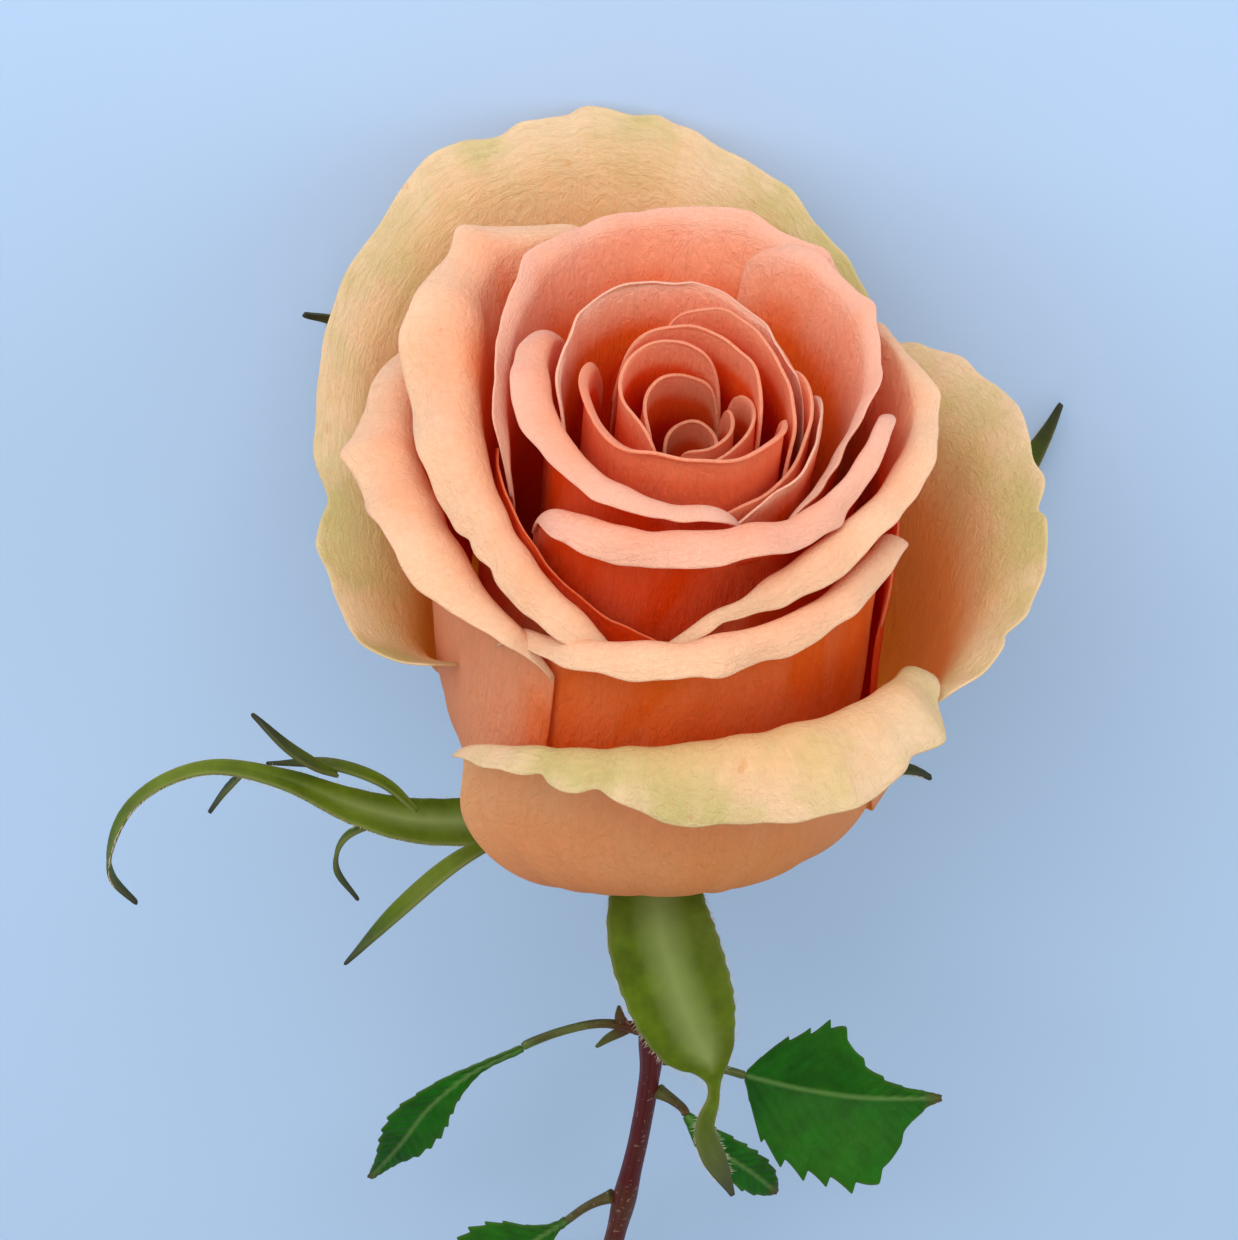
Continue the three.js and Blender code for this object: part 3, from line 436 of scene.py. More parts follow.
class Finish:
    """A node material, built with short calls."""

    def __init__(self, name):
        self.material = bpy.data.materials.new(name)
        self.material.use_nodes = True
        self.tree = self.material.node_tree
        self.tree.nodes.clear()
        self.output = self.node("ShaderNodeOutputMaterial")

    def node(self, kind, **settings):
        made = self.tree.nodes.new(kind)
        for key, value in settings.items():
            setattr(made, key, value)
        return made

    def link(self, a, b):
        self.tree.links.new(a, b)

    def attribute(self, name):
        return self.node("ShaderNodeAttribute", attribute_name=name).outputs["Fac"]

    def math(self, operation, a, b):
        made = self.node("ShaderNodeMath", operation=operation)
        for socket, value in zip(made.inputs, (a, b)):
            if isinstance(value, (int, float)):
                socket.default_value = value
            else:
                self.link(value, socket)
        return made.outputs[0]

    def span(self, value, low, high, to_low=0.0, to_high=1.0):
        made = self.node("ShaderNodeMapRange", clamp=True)
        self.link(value, made.inputs["Value"])
        for key, number in zip(("From Min", "From Max", "To Min", "To Max"), (low, high, to_low, to_high)):
            made.inputs[key].default_value = number
        return made.outputs["Result"]

    def ramp(self, value, stops):
        made = self.node("ShaderNodeValToRGB")
        self.link(value, made.inputs["Fac"])
        ramp = made.color_ramp
        ramp.interpolation = "EASE"
        while len(ramp.elements) < len(stops):
            ramp.elements.new(0.5)
        for element, (place, colour) in zip(ramp.elements, stops):
            element.position = place
            element.color = (*colour, 1)
        return made.outputs["Color"]

    def mix(self, factor, a, b, blend="MIX"):
        made = self.node("ShaderNodeMix", data_type="RGBA", blend_type=blend)
        for socket, value in zip((made.inputs[0], made.inputs[6], made.inputs[7]), (factor, a, b)):
            if isinstance(value, (int, float)):
                socket.default_value = value
            elif isinstance(value, (tuple, list)):
                socket.default_value = (*value, 1)
            else:
                self.link(value, socket)
        return made.outputs[2]

    def tint(self, factor, skin, colour):
        """The skin multiplied by a colour, as far as factor says."""
        return self.mix(factor, skin, self.mix(1.0, skin, colour, "MULTIPLY"))

    def noise(self, scale, detail, rough, vector=None, distortion=0.0):
        made = self.node("ShaderNodeTexNoise")
        made.inputs["Scale"].default_value = scale
        made.inputs["Detail"].default_value = detail
        made.inputs["Roughness"].default_value = rough
        made.inputs["Distortion"].default_value = distortion
        self.link(vector or self.object_place(), made.inputs["Vector"])
        return made.outputs["Fac"]

    def object_place(self):
        return self.node("ShaderNodeTexCoord").outputs["Object"]

    def uv_place(self, x, y):
        mapping = self.node("ShaderNodeMapping")
        mapping.inputs["Scale"].default_value = (x, y, 1)
        self.link(self.node("ShaderNodeTexCoord").outputs["UV"], mapping.inputs["Vector"])
        return mapping.outputs["Vector"]

    def bump(self, height, distance, strength, under=None):
        made = self.node("ShaderNodeBump")
        made.inputs["Distance"].default_value = distance
        made.inputs["Strength"].default_value = strength
        self.link(height, made.inputs["Height"])
        if under is not None:
            self.link(under, made.inputs["Normal"])
        return made.outputs["Normal"]

    def surface(self, colour, roughness, normal=None, through=None, through_share=0.0, **sockets):
        shader = self.node("ShaderNodeBsdfPrincipled")
        self.link(colour, shader.inputs["Base Color"])
        if isinstance(roughness, float):
            shader.inputs["Roughness"].default_value = roughness
        else:
            self.link(roughness, shader.inputs["Roughness"])
        for key, value in sockets.items():
            shader.inputs[key.replace("_", " ")].default_value = value
        if normal is not None:
            self.link(normal, shader.inputs["Normal"])
        result = shader.outputs[0]
        if through is not None:
            glow = self.node("ShaderNodeBsdfTranslucent")
            self.link(through, glow.inputs["Color"])
            if normal is not None:
                self.link(normal, glow.inputs["Normal"])
            both = self.node("ShaderNodeMixShader")
            both.inputs[0].default_value = through_share
            self.link(result, both.inputs[1])
            self.link(glow.outputs[0], both.inputs[2])
            result = both.outputs[0]
        self.link(result, self.output.inputs["Surface"])
        return self.material


def petal_finish(name, tones):
    """Petal skin: a pale rim, a warmer wall and a deep foot, with fine veins and nap. The deep saturated wall
    and foot are partly painted glow, light that shines through and between the petals.
    """
    f = Finish(name)
    rim = f.attribute("rim")
    patch = f.noise(90, 3, 0.55)
    depth = f.math("ADD", rim, f.math("MULTIPLY", f.math("SUBTRACT", patch, 0.5), tones["face_reach"] * 0.25))
    # From rim to foot the colours deepen: partly the petals' own colour, partly painted glow of light caught
    # in the cup.
    places = (0.0, 0.2, 0.48, 0.95)
    face = f.ramp(f.span(depth, 0, tones["face_reach"]), list(zip(places, tones["inner"])))
    back = f.ramp(f.span(depth, 0, tones["back_reach"]), list(zip(places, tones["outer"])))
    # Greenish clouds near the margin, on the petals that are old enough to have them.
    cloud = f.math("MULTIPLY", f.span(f.noise(70, 3, 0.6), 0.44, 0.62), f.span(rim, 2.0, 17.0, 1.0, 0.0))
    face = f.mix(f.math("MULTIPLY", cloud, tones["green_share"]), face, tones["green"])
    lighter = f.span(f.noise(1.0, 3, 0.6, f.uv_place(6, 4), 0.8), 0.4, 0.8, 0.0, 0.3)
    back = f.mix(lighter, back, tones["pale"])
    back = f.mix(f.attribute("pale"), back, tones["pale"])
    skin = f.mix(f.attribute("inside"), back, face)
    skin = f.tint(f.math("MULTIPLY", f.attribute("blush"), 0.5), skin, tones["pink"])
    # Fine branching veins run from the foot to the margin.
    veins = f.noise(1.0, 4, 0.6, f.uv_place(95, 5), 0.6)
    fine_veins = f.noise(1.0, 3, 0.6, f.uv_place(260, 9), 0.4)
    lines = f.math("ADD", f.math("MULTIPLY", veins, 0.6), f.math("MULTIPLY", fine_veins, 0.4))
    vein_mask = f.span(lines, 0.38, 0.6, 1.0, 0.0)
    skin = f.tint(f.math("MULTIPLY", vein_mask, 0.3), skin, tones["vein"])
    freckle = f.math("MULTIPLY", f.span(f.noise(420, 2, 0.5), 0.7, 0.76), 0.35)
    skin = f.tint(freckle, skin, tones["freckle"])
    # A painted highlight: a thin light line just inside each petal's margin.
    edge = f.span(rim, 0.0, 0.6, 1.0, 0.0)
    skin = f.mix(f.math("MULTIPLY", edge, tones["edge_highlight_share"]), skin, tones["edge"])
    nap = f.noise(1700, 2, 0.6)
    crepe = f.noise(1.0, 4, 0.65, f.uv_place(60, 34), 1.0)
    normal = f.bump(lines, 0.0003, 0.6)
    normal = f.bump(crepe, 0.0008, 0.5, normal)
    normal = f.bump(nap, 0.0001, 0.7, normal)
    rough = f.span(nap, 0.3, 0.7, 0.52, 0.7)
    through = f.mix(1.0, skin, tones["through"], "MULTIPLY")
    return f.surface(skin, rough, normal, through, tones["through_share"], Specular_IOR_Level=0.12)


# ---- leaves and stalks: ribbons carried along a smooth line ---------------------------------------


def smooth_line(points, count=240):
    """A centripetal spline through the points, evenly sampled by length."""
    p = [np.asarray(q, float) for q in points]
    p = [2 * p[0] - p[1]] + p + [2 * p[-1] - p[-2]]
    samples = []
    per = max(count // (len(p) - 3), 8)
    for a, b, c, d in zip(p, p[1:], p[2:], p[3:]):
        da, db, dc = (max(np.linalg.norm(y - x), 1e-6) ** 0.5 for x, y in ((a, b), (b, c), (c, d)))
        t1 = ((b - a) / da - (c - a) / (da + db) + (c - b) / db) * db
        t2 = ((c - b) / db - (d - b) / (db + dc) + (d - c) / dc) * db
        for k in range(per):
            t = k / per
            samples.append(b + t1 * t + (-3 * b + 3 * c - 2 * t1 - t2) * t**2
                           + (2 * b - 2 * c + t1 + t2) * t**3)
    samples.append(p[-2])
    samples = np.array(samples)
    length = np.concatenate([[0], np.cumsum(np.linalg.norm(np.diff(samples, axis=0), axis=1))])
    even = np.linspace(0, length[-1], count)
    return np.stack([np.interp(even, length, samples[:, k]) for k in range(3)], -1), length[-1]


def carried(points, face, count):
    """Places along a smooth line, with the upper side and the side across it carried along."""
    line, length = smooth_line(points)
    s = np.linspace(0, 1, count)
    at = np.stack([np.interp(s, np.linspace(0, 1, len(line)), line[:, k]) for k in range(3)], -1)
    forward = np.gradient(at, axis=0)
    forward /= np.linalg.norm(forward, axis=1, keepdims=True)
    up = np.asarray(face, float)
    ups = []
    for f in forward:
        up = up - f * np.dot(up, f)
        up = up / np.linalg.norm(up)
        ups.append(up)
    ups = np.array(ups)
    return at, ups, np.cross(ups, forward), forward, length


# The five sepals, as (name, bearing, line, widths along it, lobes), a lobe being its line and width.
SEPALS = [
    ("sepal_front", 277,
     [
         (1, -10, -3), (2.1, -16.9, -5.9), (4.2, -20.2, -10.2), (7.1, -22.9, -15.9), (9.4, -24.1, -20.1),
         (10.1, -25.4, -24.2), (9.5, -28, -27), (13.4, -32.9, -32),
     ],
     (5, 8.5, 11, 12.6, 12.6, 11.6, 8.4, 1.8, 2.2, 3, 0.5),
     ()),
    ("sepal_left", 203,
     [
         (-10, -5, -1.6), (-25, -8.2, -2), (-33, -8.3, -0.5), (-40.7, -7.7, 2.1), (-48.7, -7.8, 3.2),
         (-53.6, -8.8, 1.8), (-57.8, -9.2, -2.7), (-60.1, -9.5, -9), (-60.2, -9, -15.5), (-57.4, -9.1, -19.6),
     ],
     (4.5, 7.6, 7.4, 6.8, 5.8, 4, 2.6, 2, 2, 2.5, 2.5, 0.5),
     (([(-35.4, -4.6, 0.6), (-38, -5.6, 2.8), (-41, -6, 5.6), (-45, -5.5, 10)], 2.8),
      ([(-26, -7.2, -1.6), (-30, -4.6, -0.2), (-36, -3.8, 1.2), (-43.5, -4, 0.6)], 1.8),
      ([(-45.6, -8, 2.8), (-47.4, -7.6, -0.6), (-49.4, -7.2, -5)], 2.8),
      ([(-28.6, -8.6, -1.4), (-33.6, -8.6, -5), (-34.8, -8.2, -11), (-32.2, -7.6, -17)], 1.4),
      ([(-15, -8, -2.2), (-20.5, -13.4, -1.6), (-27, -14.4, -10), (-33, -14, -21)], 2.8))),
    ("sepal_back_left", 137,
     [
         (-7, 6, -1.6), (-15, 13, -1.8), (-26, 23, 1), (-34, 30, 9), (-38.4, 34, 20), (-39, 34.6, 29.6),
         (-40.7, 32.7, 34.7), (-44, 29.4, 38.2),
     ],
     (4, 7, 6.4, 4.4, 2.6, 2.2, 1.8, 0.6),
     (([(-25, 22.6, 0.8), (-28, 31, 2), (-29, 37, 9)], 2.2),)),
    ("sepal_back_right", 50,
     [
         (6, 7, -1.6), (13, 14, -1.8), (23, 23, 0), (32, 31, 6), (37.6, 37, 12.6), (40, 38.8, 18.2),
         (41.5, 38.8, 23.8), (42.4, 39.4, 27.2),
     ],
     (4, 7, 6.2, 4, 3, 3, 4.2, 2.8, 0.6),
     (([(24, 23.6, 0.4), (25, 31, 1.6), (28, 35.5, 6)], 2.2),)),
    ("sepal_right", 352,
     [
         (8, -1, -1.8), (14, 0.6, -2.4), (20, 2.6, 0), (24, 3.8, 1), (27, 4.4, 0.9), (29.4, 5, 0.1),
         (31.4, 5.5, -1.3),
     ],
     (4, 6.6, 5.4, 3.6, 2.6, 1.8, 0.6),
     ()),
]


def blade_shape(points, widths, face, fold, rng, teeth=0.0, tooth=3.0, veins=0.0, cup=0.0):
    """A leafy blade: folded at its midrib, with toothed margins and raised cross veins."""

    def shape(u, v):
        rows = u.shape[0]
        at, ups, sides, forward, length = carried(points, face, rows)
        pair = widths if isinstance(widths[0], tuple) else (widths, widths)
        one, other = (np.maximum(blade_values(w, v * 2 - 1) / 2, 0.12) for w in pair)
        half = np.where(u > 0, one, other)
        along = v * length
        # Each tooth leans towards the tip: a slow rise and a quick fall.
        phase = along / tooth + 0.5 * np.sign(u)
        saw = (phase - np.floor(phase)) ** 1.6
        reach = half * (1 + teeth * (saw - 0.4) * smooth(half / 3))
        lean = teeth * tooth * 0.3 * saw
        across = np.sign(u) * np.abs(u) * reach
        rise = np.abs(across) * math.sin(math.radians(fold)) - cup * (np.abs(u) ** 2) * half
        vein_line = np.cos(2 * math.pi * (along - np.abs(across) * 0.9) / (tooth * 1.4))
        rise = rise - veins * (vein_line**2 - 0.5) * smooth(np.abs(u) * 4) * (1 - u**4)
        rise = rise + veins * 1.3 * waves(along + 3 * u, rng, 9, 30, 4) * np.abs(u)
        flat = across * math.cos(math.radians(fold))
        placed = (at[:, None, :] + sides[:, None, :] * flat[..., None] + ups[:, None, :] * rise[..., None]
                  + forward[:, None, :] * (lean * np.abs(u))[..., None])
        rim = reach * (1 - np.abs(u))
        tip = (1 - v) * length
        return placed, {"rim": rim, "tip": tip, "midrib": np.abs(across), "along": along}

    return shape


def join(pieces, name):
    deselect()
    for piece in pieces:
        piece.select_set(True)
    bpy.context.view_layer.objects.active = pieces[0]
    if len(pieces) > 1:
        bpy.ops.object.join()
    pieces[0].name = name
    return pieces[0]


def down_hairs(name, spots, rng, length, radius):
    """Fine hairs, each a three-sided spike standing at a spot, given as (place, direction)."""
    verts, faces = [], []
    for place, direction in spots:
        d = np.asarray(direction) + np.array([rng.uniform(-0.5, 0.5) for _ in range(3)])
        d /= np.linalg.norm(d)
        side = np.cross(d, (0.3, 0.5, 0.81))
        side /= np.linalg.norm(side)
        other = np.cross(d, side)
        base = len(verts)
        for k in range(3):
            a = k * math.tau / 3
            verts.append(place + radius * (math.cos(a) * side + math.sin(a) * other))
        verts.append(place + d * length * rng.uniform(0.5, 1.2))
        faces += [(base, base + 1, base + 3), (base + 1, base + 2, base + 3), (base + 2, base, base + 3),
                  (base + 2, base + 1, base)]
    mesh = bpy.data.meshes.new(name)
    mesh.from_pydata([tuple(p) for p in laid(np.array(verts))], [], faces)
    mesh.update()
    piece = bpy.data.objects.new(name, mesh)
    bpy.context.scene.collection.objects.link(piece)
    return piece


def make_sepal(spec, size, finish, down):
    name, bearing, points, widths, lobes = spec
    rng = random.Random(name)
    start = math.radians(bearing)
    rim = size.hip_rim_radius + CLEARANCE
    root = (rim * math.cos(start), rim * math.sin(start), -0.5)
    blade = blade_shape([root, *points], widths, (0, 0, 1), 12, rng, 0.05, 2.2, 0.06, 0.18)
    parts = [grid_piece(name + "_blade", 10, 84, blade)]
    for k, (line, width) in enumerate(lobes):
        lobe_widths = [w * width for w in (0.45, 0.9, 0.8, 0.08)]
        lobe = blade_shape(line, lobe_widths, (0, 0, 1), 8, rng, 0.04, 2, 0.03)
        parts.append(grid_piece(f"{name}_lobe_{k}", 6, 30, lobe))
    for part in parts:
        finish_sheet(part, size.sepal_thickness, finish)
    # Pale down stands along the margins of the broad part.
    at, ups, sides, forward, _ = carried([root, *points], (0, 0, 1), 300)
    s = np.linspace(-1, 1, 300)
    half = blade_values(widths, s) / 2
    spots = []
    for k in range(20, 285):
        for side in (-1, 1):
            if rng.random() < 0.7:
                edge = at[k] + sides[k] * side * half[k] * 0.96 + ups[k] * half[k] * 0.05
                spots.append((edge, sides[k] * side + forward[k] * 0.5))
    fuzz = down_hairs(name + "_down", spots, rng, size.down_length, 0.035)
    fuzz.data.materials.append(down)
    settle(join([*parts, fuzz], name + "_leafy"), "sepal", name)


def tube_piece(name, points, radius_at, around, along, lumps):
    """A round stalk: a grid primitive rolled up, its seam merged and its ends filled."""
    at, ups, sides, _, length = carried(points, (1, 0.01, 0.02), along + 1)

    def shape(u, v):
        turn = math.pi * u
        bump = np.array([[noise.noise((math.cos(a) * 1.1, math.sin(a) * 1.1, b * length * 0.16))
                          for a, b in zip(ra, rb)] for ra, rb in zip(turn, v)])
        radius = radius_at(v * length) * (1 + lumps * bump)
        placed = (at[:, None, :] + ups[:, None, :] * (radius * np.cos(turn))[..., None]
                  - sides[:, None, :] * (radius * np.sin(turn))[..., None])
        return placed, {"along": v * length, "tip": (1 - v) * length}

    piece = grid_piece(name, around, along, shape)
    close_round(piece, 0.000001, fill=True)
    return piece


def stem_line(size):
    """The stem's line. At its cut end it rests on the floor, `rest` behind the bloom's axis."""
    length, lay = size.stem_length, math.radians(LAY_ANGLE)
    rest = (Bloom.place.z / MM - length * math.sin(lay) - size.stem_cut_radius) / math.cos(lay)
    return [
        (0, 0, -size.hip_length - CLEARANCE), (1.6, 0, -28), (3.3, 0, -47), (3.1, 0, -62), (2, 0, -78),
        (0.2, 0, -100), (-2.2, rest * 0.4, -length * 0.7), (-2, rest, -length),
    ]


# A leaf leaves the stem on one side at a height; its stalk, wings and blade are drawn from there.
# A blade's widths are its upper side's and its lower side's.
LEAVES = [
    ("leaf_left", -1, -44, 3.2, [(0, 0, 0), (-4.4, -1, 1.4), (-8.4, -2, 0.8), (-13, -2.5, -2.1)],
     (([(-1, -0.4, 0.4), (-2, -0.8, 2.4), (-2.4, -1, 5)], 1.6),
      ([(-1, -0.4, 0.4), (-3, -1, -0.8), (-4.6, -1.4, -2.6)], 1.6)),
     ("leaf_left_blade", (-13.4, -2.6, -2.5), (0.5, -0.6, 0.4),
      [(-5.6, -1.5, -3.7), (-10.4, -2, -10.2), (-13.8, -1.7, -18.5), (-17.6, 0.3, -28.7)],
      ((1.2, 1.4, 2, 3.4, 5.4, 7, 6.8, 5.4, 3.4, 1.8, 0.6),) * 2)),
    ("leaf_right", 1, -49, 3.3, [(0, 0, 0), (3.4, 0.9, -1.9), (7, 2, -3.6), (9.3, 2.3, -4.6)], (),
     ("leaf_right_large_leaflet", (9.7, 2.4, -4.8), (0, -0.75, 0.66),
      [(7.1, -0.4, -1), (14.4, -0.7, -1.1), (24.2, 0.7, -1.5)],
      ((1.2, 8.8, 12.8, 15.2, 17.6, 17.2, 11.2, 7, 4.4, 2.8, 1.8, 0.6),
       (1.2, 10, 16, 19.2, 20.8, 21.6, 22.4, 22, 17, 8, 3, 0.6)))),
    ("leaf_right_low", 1, -55.5, 3.2, [(0, 0, 0), (1.2, -1.6, 0.6), (2.7, -3.9, 1.7)], (),
     ("leaf_right_small_leaflet", (3, -4.5, 1.5), (0.3, -0.8, 0.5),
      [(4.1, -0.9, -4.6), (8.4, 0.4, -9.9), (12.4, 2.2, -16.1)],
      ((1, 3, 4.6, 5.2, 5.2, 4.8, 3.4, 0.6),) * 2)),
    ("leaf_low", -1, -77, 2.1, [(0, 0, 0), (-1.4, 0.3, -2), (-3, 0.8, -4.4), (-4.6, 1.2, -7.2)], (),
     ("leaf_low_blade", (-4.8, 1.3, -7.6), (-0.3, -0.9, 0.4),
      [(-4, 1, -6.4), (-9.4, 1.6, -15), (-15, 1.2, -25)],
      ((1.1, 1.6, 4, 8.4, 11.6, 12.8, 11.8, 9, 5.4, 2.2, 0.6),) * 2)),
]


def make_leaf(spec, size, finish, stalk_finish):
    name, side, height, centre, stalk, wings, blade = spec
    out = centre + side * (size.stem_radius * 1.25 + CLEARANCE)

    def put(p):
        return (out + p[0], p[1], height + p[2])

    line = [put(p) for p in stalk]
    line[0] = (line[0][0] - side * 0.6, line[0][1], line[0][2])
    line.append(put(blade[1]))
    thick = size.leaf_stalk_radius
    rng = random.Random(name)
    parts = [tube_piece(name + "_rod", line, lambda d: thick * (1.0 + 0.9 * np.exp(-d / 1.6)), 12, 24, 0.1)]
    parts[0].data.materials.append(stalk_finish)
    soften(parts[0])
    for k, (points, width) in enumerate(wings):
        wing_widths = [w * width for w in (1, 1, 0.7, 0.2)]
        wing = blade_shape([put(p) for p in points], wing_widths, (0, -1, 0), 10, rng)
        part = grid_piece(f"{name}_wing_{k}", 6, 16, wing)
        finish_sheet(part, size.leaf_thickness, stalk_finish)
        parts.append(part)
    settle(join(parts, name + "_rod_whole"), "stem", name + "_stalk")
    node, start, face, points, widths = blade
    line = [put(p) for p in [start, *[tuple(a + b for a, b in zip(start, q)) for q in points]]]
    shape = blade_shape(line, widths, face, 14, rng, 0.16, 2.6, 0.22, 0.1)
    piece = grid_piece(node + "_leafy", 28, 110, shape)
    finish_sheet(piece, size.leaf_thickness, finish)
    settle(piece, "leaf", node)


def green_finish(name, colours, gloss, through_share, veins=0.0):
    """Leaf and sepal skin: green, veined, browner towards the tip and pale at the margin."""
    f = Finish(name)
    rim = f.attribute("rim")
    tip = f.attribute("tip")
    midrib = f.attribute("midrib")
    mottle = f.noise(260, 4, 0.6)
    cloud = f.noise(55, 2, 0.5)
    skin = f.mix(f.span(mottle, 0.35, 0.7), colours["dark"], colours["light"])
    skin = f.mix(f.span(cloud, 0.4, 0.75, 0.0, 0.5), skin, colours["warm"])
    near_rib = f.span(midrib, *colours["rib_spread"], 0.6, 0.0)
    pale = f.math("MULTIPLY", near_rib, f.span(rim, *colours["rib_breadth"]))
    skin = f.mix(pale, skin, colours["rib"])
    under = f.span(f.attribute("inside"), 0.0, 1.0, colours["under_share"], 0.0)
    skin = f.mix(under, skin, colours["under"])
    margin = f.span(rim, 0.0, colours["margin_width"], colours["margin_share"], 0.0)
    skin = f.mix(margin, skin, colours["margin"])
    skin = f.mix(f.span(tip, 0.0, colours["tip_length"], 0.9, 0.0), skin, colours["tip"])
    cells = f.noise(1500, 3, 0.6)
    ribs = f.noise(1.0, 3, 0.5, f.uv_place(18, 46), 0.8)
    normal = f.bump(ribs, 0.0004, veins) if veins else None
    normal = f.bump(cells, 0.00008, 0.6, normal)
    rough = f.span(cells, 0.3, 0.7, gloss - 0.06, gloss + 0.08)
    return f.surface(skin, rough, normal, f.mix(1.0, skin, colours["through"], "MULTIPLY"), through_share,
                     Specular_IOR_Level=0.12)


def stem_finish(name, colours, gloss):
    """Waxy stem skin: burgundy near the bloom, greener towards the cut, with fine streaks."""
    f = Finish(name)
    along = f.attribute("along")
    streak = f.noise(1.0, 4, 0.6, f.uv_place(26, 3), 0.3)
    cloud = f.noise(130, 3, 0.6)
    skin = f.mix(f.span(streak, 0.35, 0.65), colours["dark"], colours["light"])
    green = f.span(f.math("ADD", along, f.math("MULTIPLY", cloud, 60)), *colours["green_from"])
    skin = f.mix(green, skin, f.mix(f.span(streak, 0.4, 0.7), colours["green"], colours["green_light"]))
    dots = f.span(f.noise(1400, 1, 0.4), 0.66, 0.7)
    skin = f.mix(f.math("MULTIPLY", dots, 0.5), skin, colours["dot"])
    normal = f.bump(streak, 0.00025, 0.6)
    normal = f.bump(f.noise(1800, 3, 0.6), 0.00005, 0.6, normal)
    return f.surface(skin, gloss, normal, Specular_IOR_Level=0.15)


def plain_finish(name, a, b, scale, gloss):
    """A finish that wanders between two near colours, with a fine grain."""
    f = Finish(name)
    grain = f.noise(scale, 4, 0.6)
    normal = f.bump(grain, 0.0002, 0.4)
    return f.surface(f.mix(f.span(grain, 0.3, 0.7), a, b), gloss, normal)


# ---- settings ---------------------------------------------------------------------------------------


def length_of(name, value, text):
    return FloatProperty(name=name, default=value, description=text + ", in millimetres")


def colour_of(name, value, text):
    return FloatVectorProperty(
        name=name, default=value, size=3, min=0, max=1, subtype="COLOR", description=text)


def amount_of(name, value, text, **limits):
    return FloatProperty(name=name, default=value, description=text, **limits)


class RoseSizes(bpy.types.PropertyGroup):
    """Sizes of the rose's pieces, in millimetres."""

    spread: length_of("Bloom spread", 80, "Across the outermost petals")
    heart_height: length_of("Heart height", 54, "From the petals' foot to the heart's rims")
    heart_belly: length_of("Heart belly", 4, "Radius of the innermost petal's belly")
    cup_belly: length_of("Cup belly", 27.5, "Radius of the outermost petal's belly")
    claw_ring_in: length_of("Inner claw ring", 1.8, "Radius at which the innermost petal is attached")
    claw_ring_out: length_of("Outer claw ring", 6.6, "Radius at which the outermost petal is attached")
    petal_foot: length_of("Petal foot", 2, "Height of the petals' feet over the calyx")
    petal_thickness: length_of("Petal thickness", 0.3, "Thickness of a petal's wall")
    petal_thickness_drawn: length_of("Drawn petal thickness", 0.5, "Thickness of a petal in the packed frame")
    frill: length_of("Frill", 0.3, "How far a petal's margin wanders in and out")
    ripple: length_of("Ripple", 0.45, "How far a petal's margin undulates")
    curl: amount_of("Curl", 0.1, "How unevenly a petal's lip rolls out, as a share")
    hip_radius: length_of("Hip radius", 4.6, "Radius of the receptacle")
    hip_length: length_of("Hip length", 11, "Length of the receptacle")
    hip_rim_radius: length_of("Hip rim radius", 5.2, "Radius of the rim that carries the sepals")
    sepal_thickness: length_of("Sepal thickness", 0.5, "Thickness of a sepal")
    down_length: length_of("Down length", 0.75, "Length of the hairs on the sepals' margins")
    stem_length: length_of("Stem length", 200, "From the calyx to the cut")
    stem_radius: length_of("Stem radius", 1.4, "Radius of the stem")
    stem_cut_radius: length_of("Stem cut radius", 1.8, "Radius of the stem at its cut end")
    leaf_stalk_radius: length_of("Leaf stalk radius", 0.56, "Radius of a leaf's stalk")
    leaf_thickness: length_of("Leaf thickness", 0.34, "Thickness of a leaf's blade")


class RoseColours(bpy.types.PropertyGroup):
    """The rose's main colours. The petals' deep walls, feet and outsides are partly their own colour and
    partly painted glow, light that shines through and between the petals.
    """

    # The heart's rims and lips are lighter than their own colour, partly as painted light in the heart's
    # shade.
    heart_rim: colour_of("Heart rim", (1.0, 0.55, 0.34), "Rim of the heart's petals")
    heart_lip: colour_of("Heart lip", (1.0, 0.45, 0.24), "Heart petals, a little way from the rim")
    heart_wall: colour_of("Heart wall", (0.98, 0.15, 0.02), "Wall of the heart's petals")
    heart_foot: colour_of("Heart foot", (0.88, 0.03, 0.003), "Foot of the heart's petals")
    heart_outside: colour_of("Heart outside", (0.96, 0.20, 0.05), "Outside of the heart's petals")
    inner_rim: colour_of("Inner rim", (0.98, 0.66, 0.48), "Rim of the inner petals")
    inner_lip: colour_of("Inner lip", (0.97, 0.48, 0.28), "Inner petals, a little way from the rim")
    inner_wall: colour_of("Inner wall", (0.95, 0.18, 0.02), "Wall of the inner petals")
    inner_foot: colour_of("Inner foot", (0.92, 0.06, 0.002), "Foot of the inner petals")
    inner_outside: colour_of("Inner outside", (0.93, 0.09, 0.004), "Outside of the inner petals")
    outer_rim: colour_of("Outer rim", (0.97, 0.74, 0.48), "Rim of the outer petals")
    outer_lip: colour_of("Outer lip", (0.96, 0.57, 0.33), "Outer petals, a little way from the rim")
    outer_wall: colour_of("Outer wall", (0.95, 0.25, 0.05), "Wall of the outer petals")
    outer_foot: colour_of("Outer foot", (0.93, 0.10, 0.003), "Foot of the outer petals")
    outer_outside: colour_of("Outer outside", (0.93, 0.19, 0.02), "Outside of the outer petals")
    guard_rim: colour_of("Guard rim", (0.93, 0.80, 0.57), "Rim of the guard petals")
    guard_lip: colour_of("Guard lip", (0.92, 0.72, 0.42), "Guard petals, a little way from the rim")
    guard_wall: colour_of("Guard wall", (0.96, 0.60, 0.24), "Wall of the guard petals")
    guard_foot: colour_of("Guard foot", (0.96, 0.48, 0.06), "Foot of the guard petals")
    guard_outside: colour_of("Guard outside", (0.94, 0.50, 0.23), "Outside of the guard petals")
    leaf: colour_of("Leaf", (0.005, 0.095, 0.003), "Upper side of the leaves")
    sepal: colour_of("Sepal", (0.08, 0.13, 0.004), "Sepals")
    stem: colour_of("Stem", (0.07, 0.003, 0.004), "Stem near the bloom")


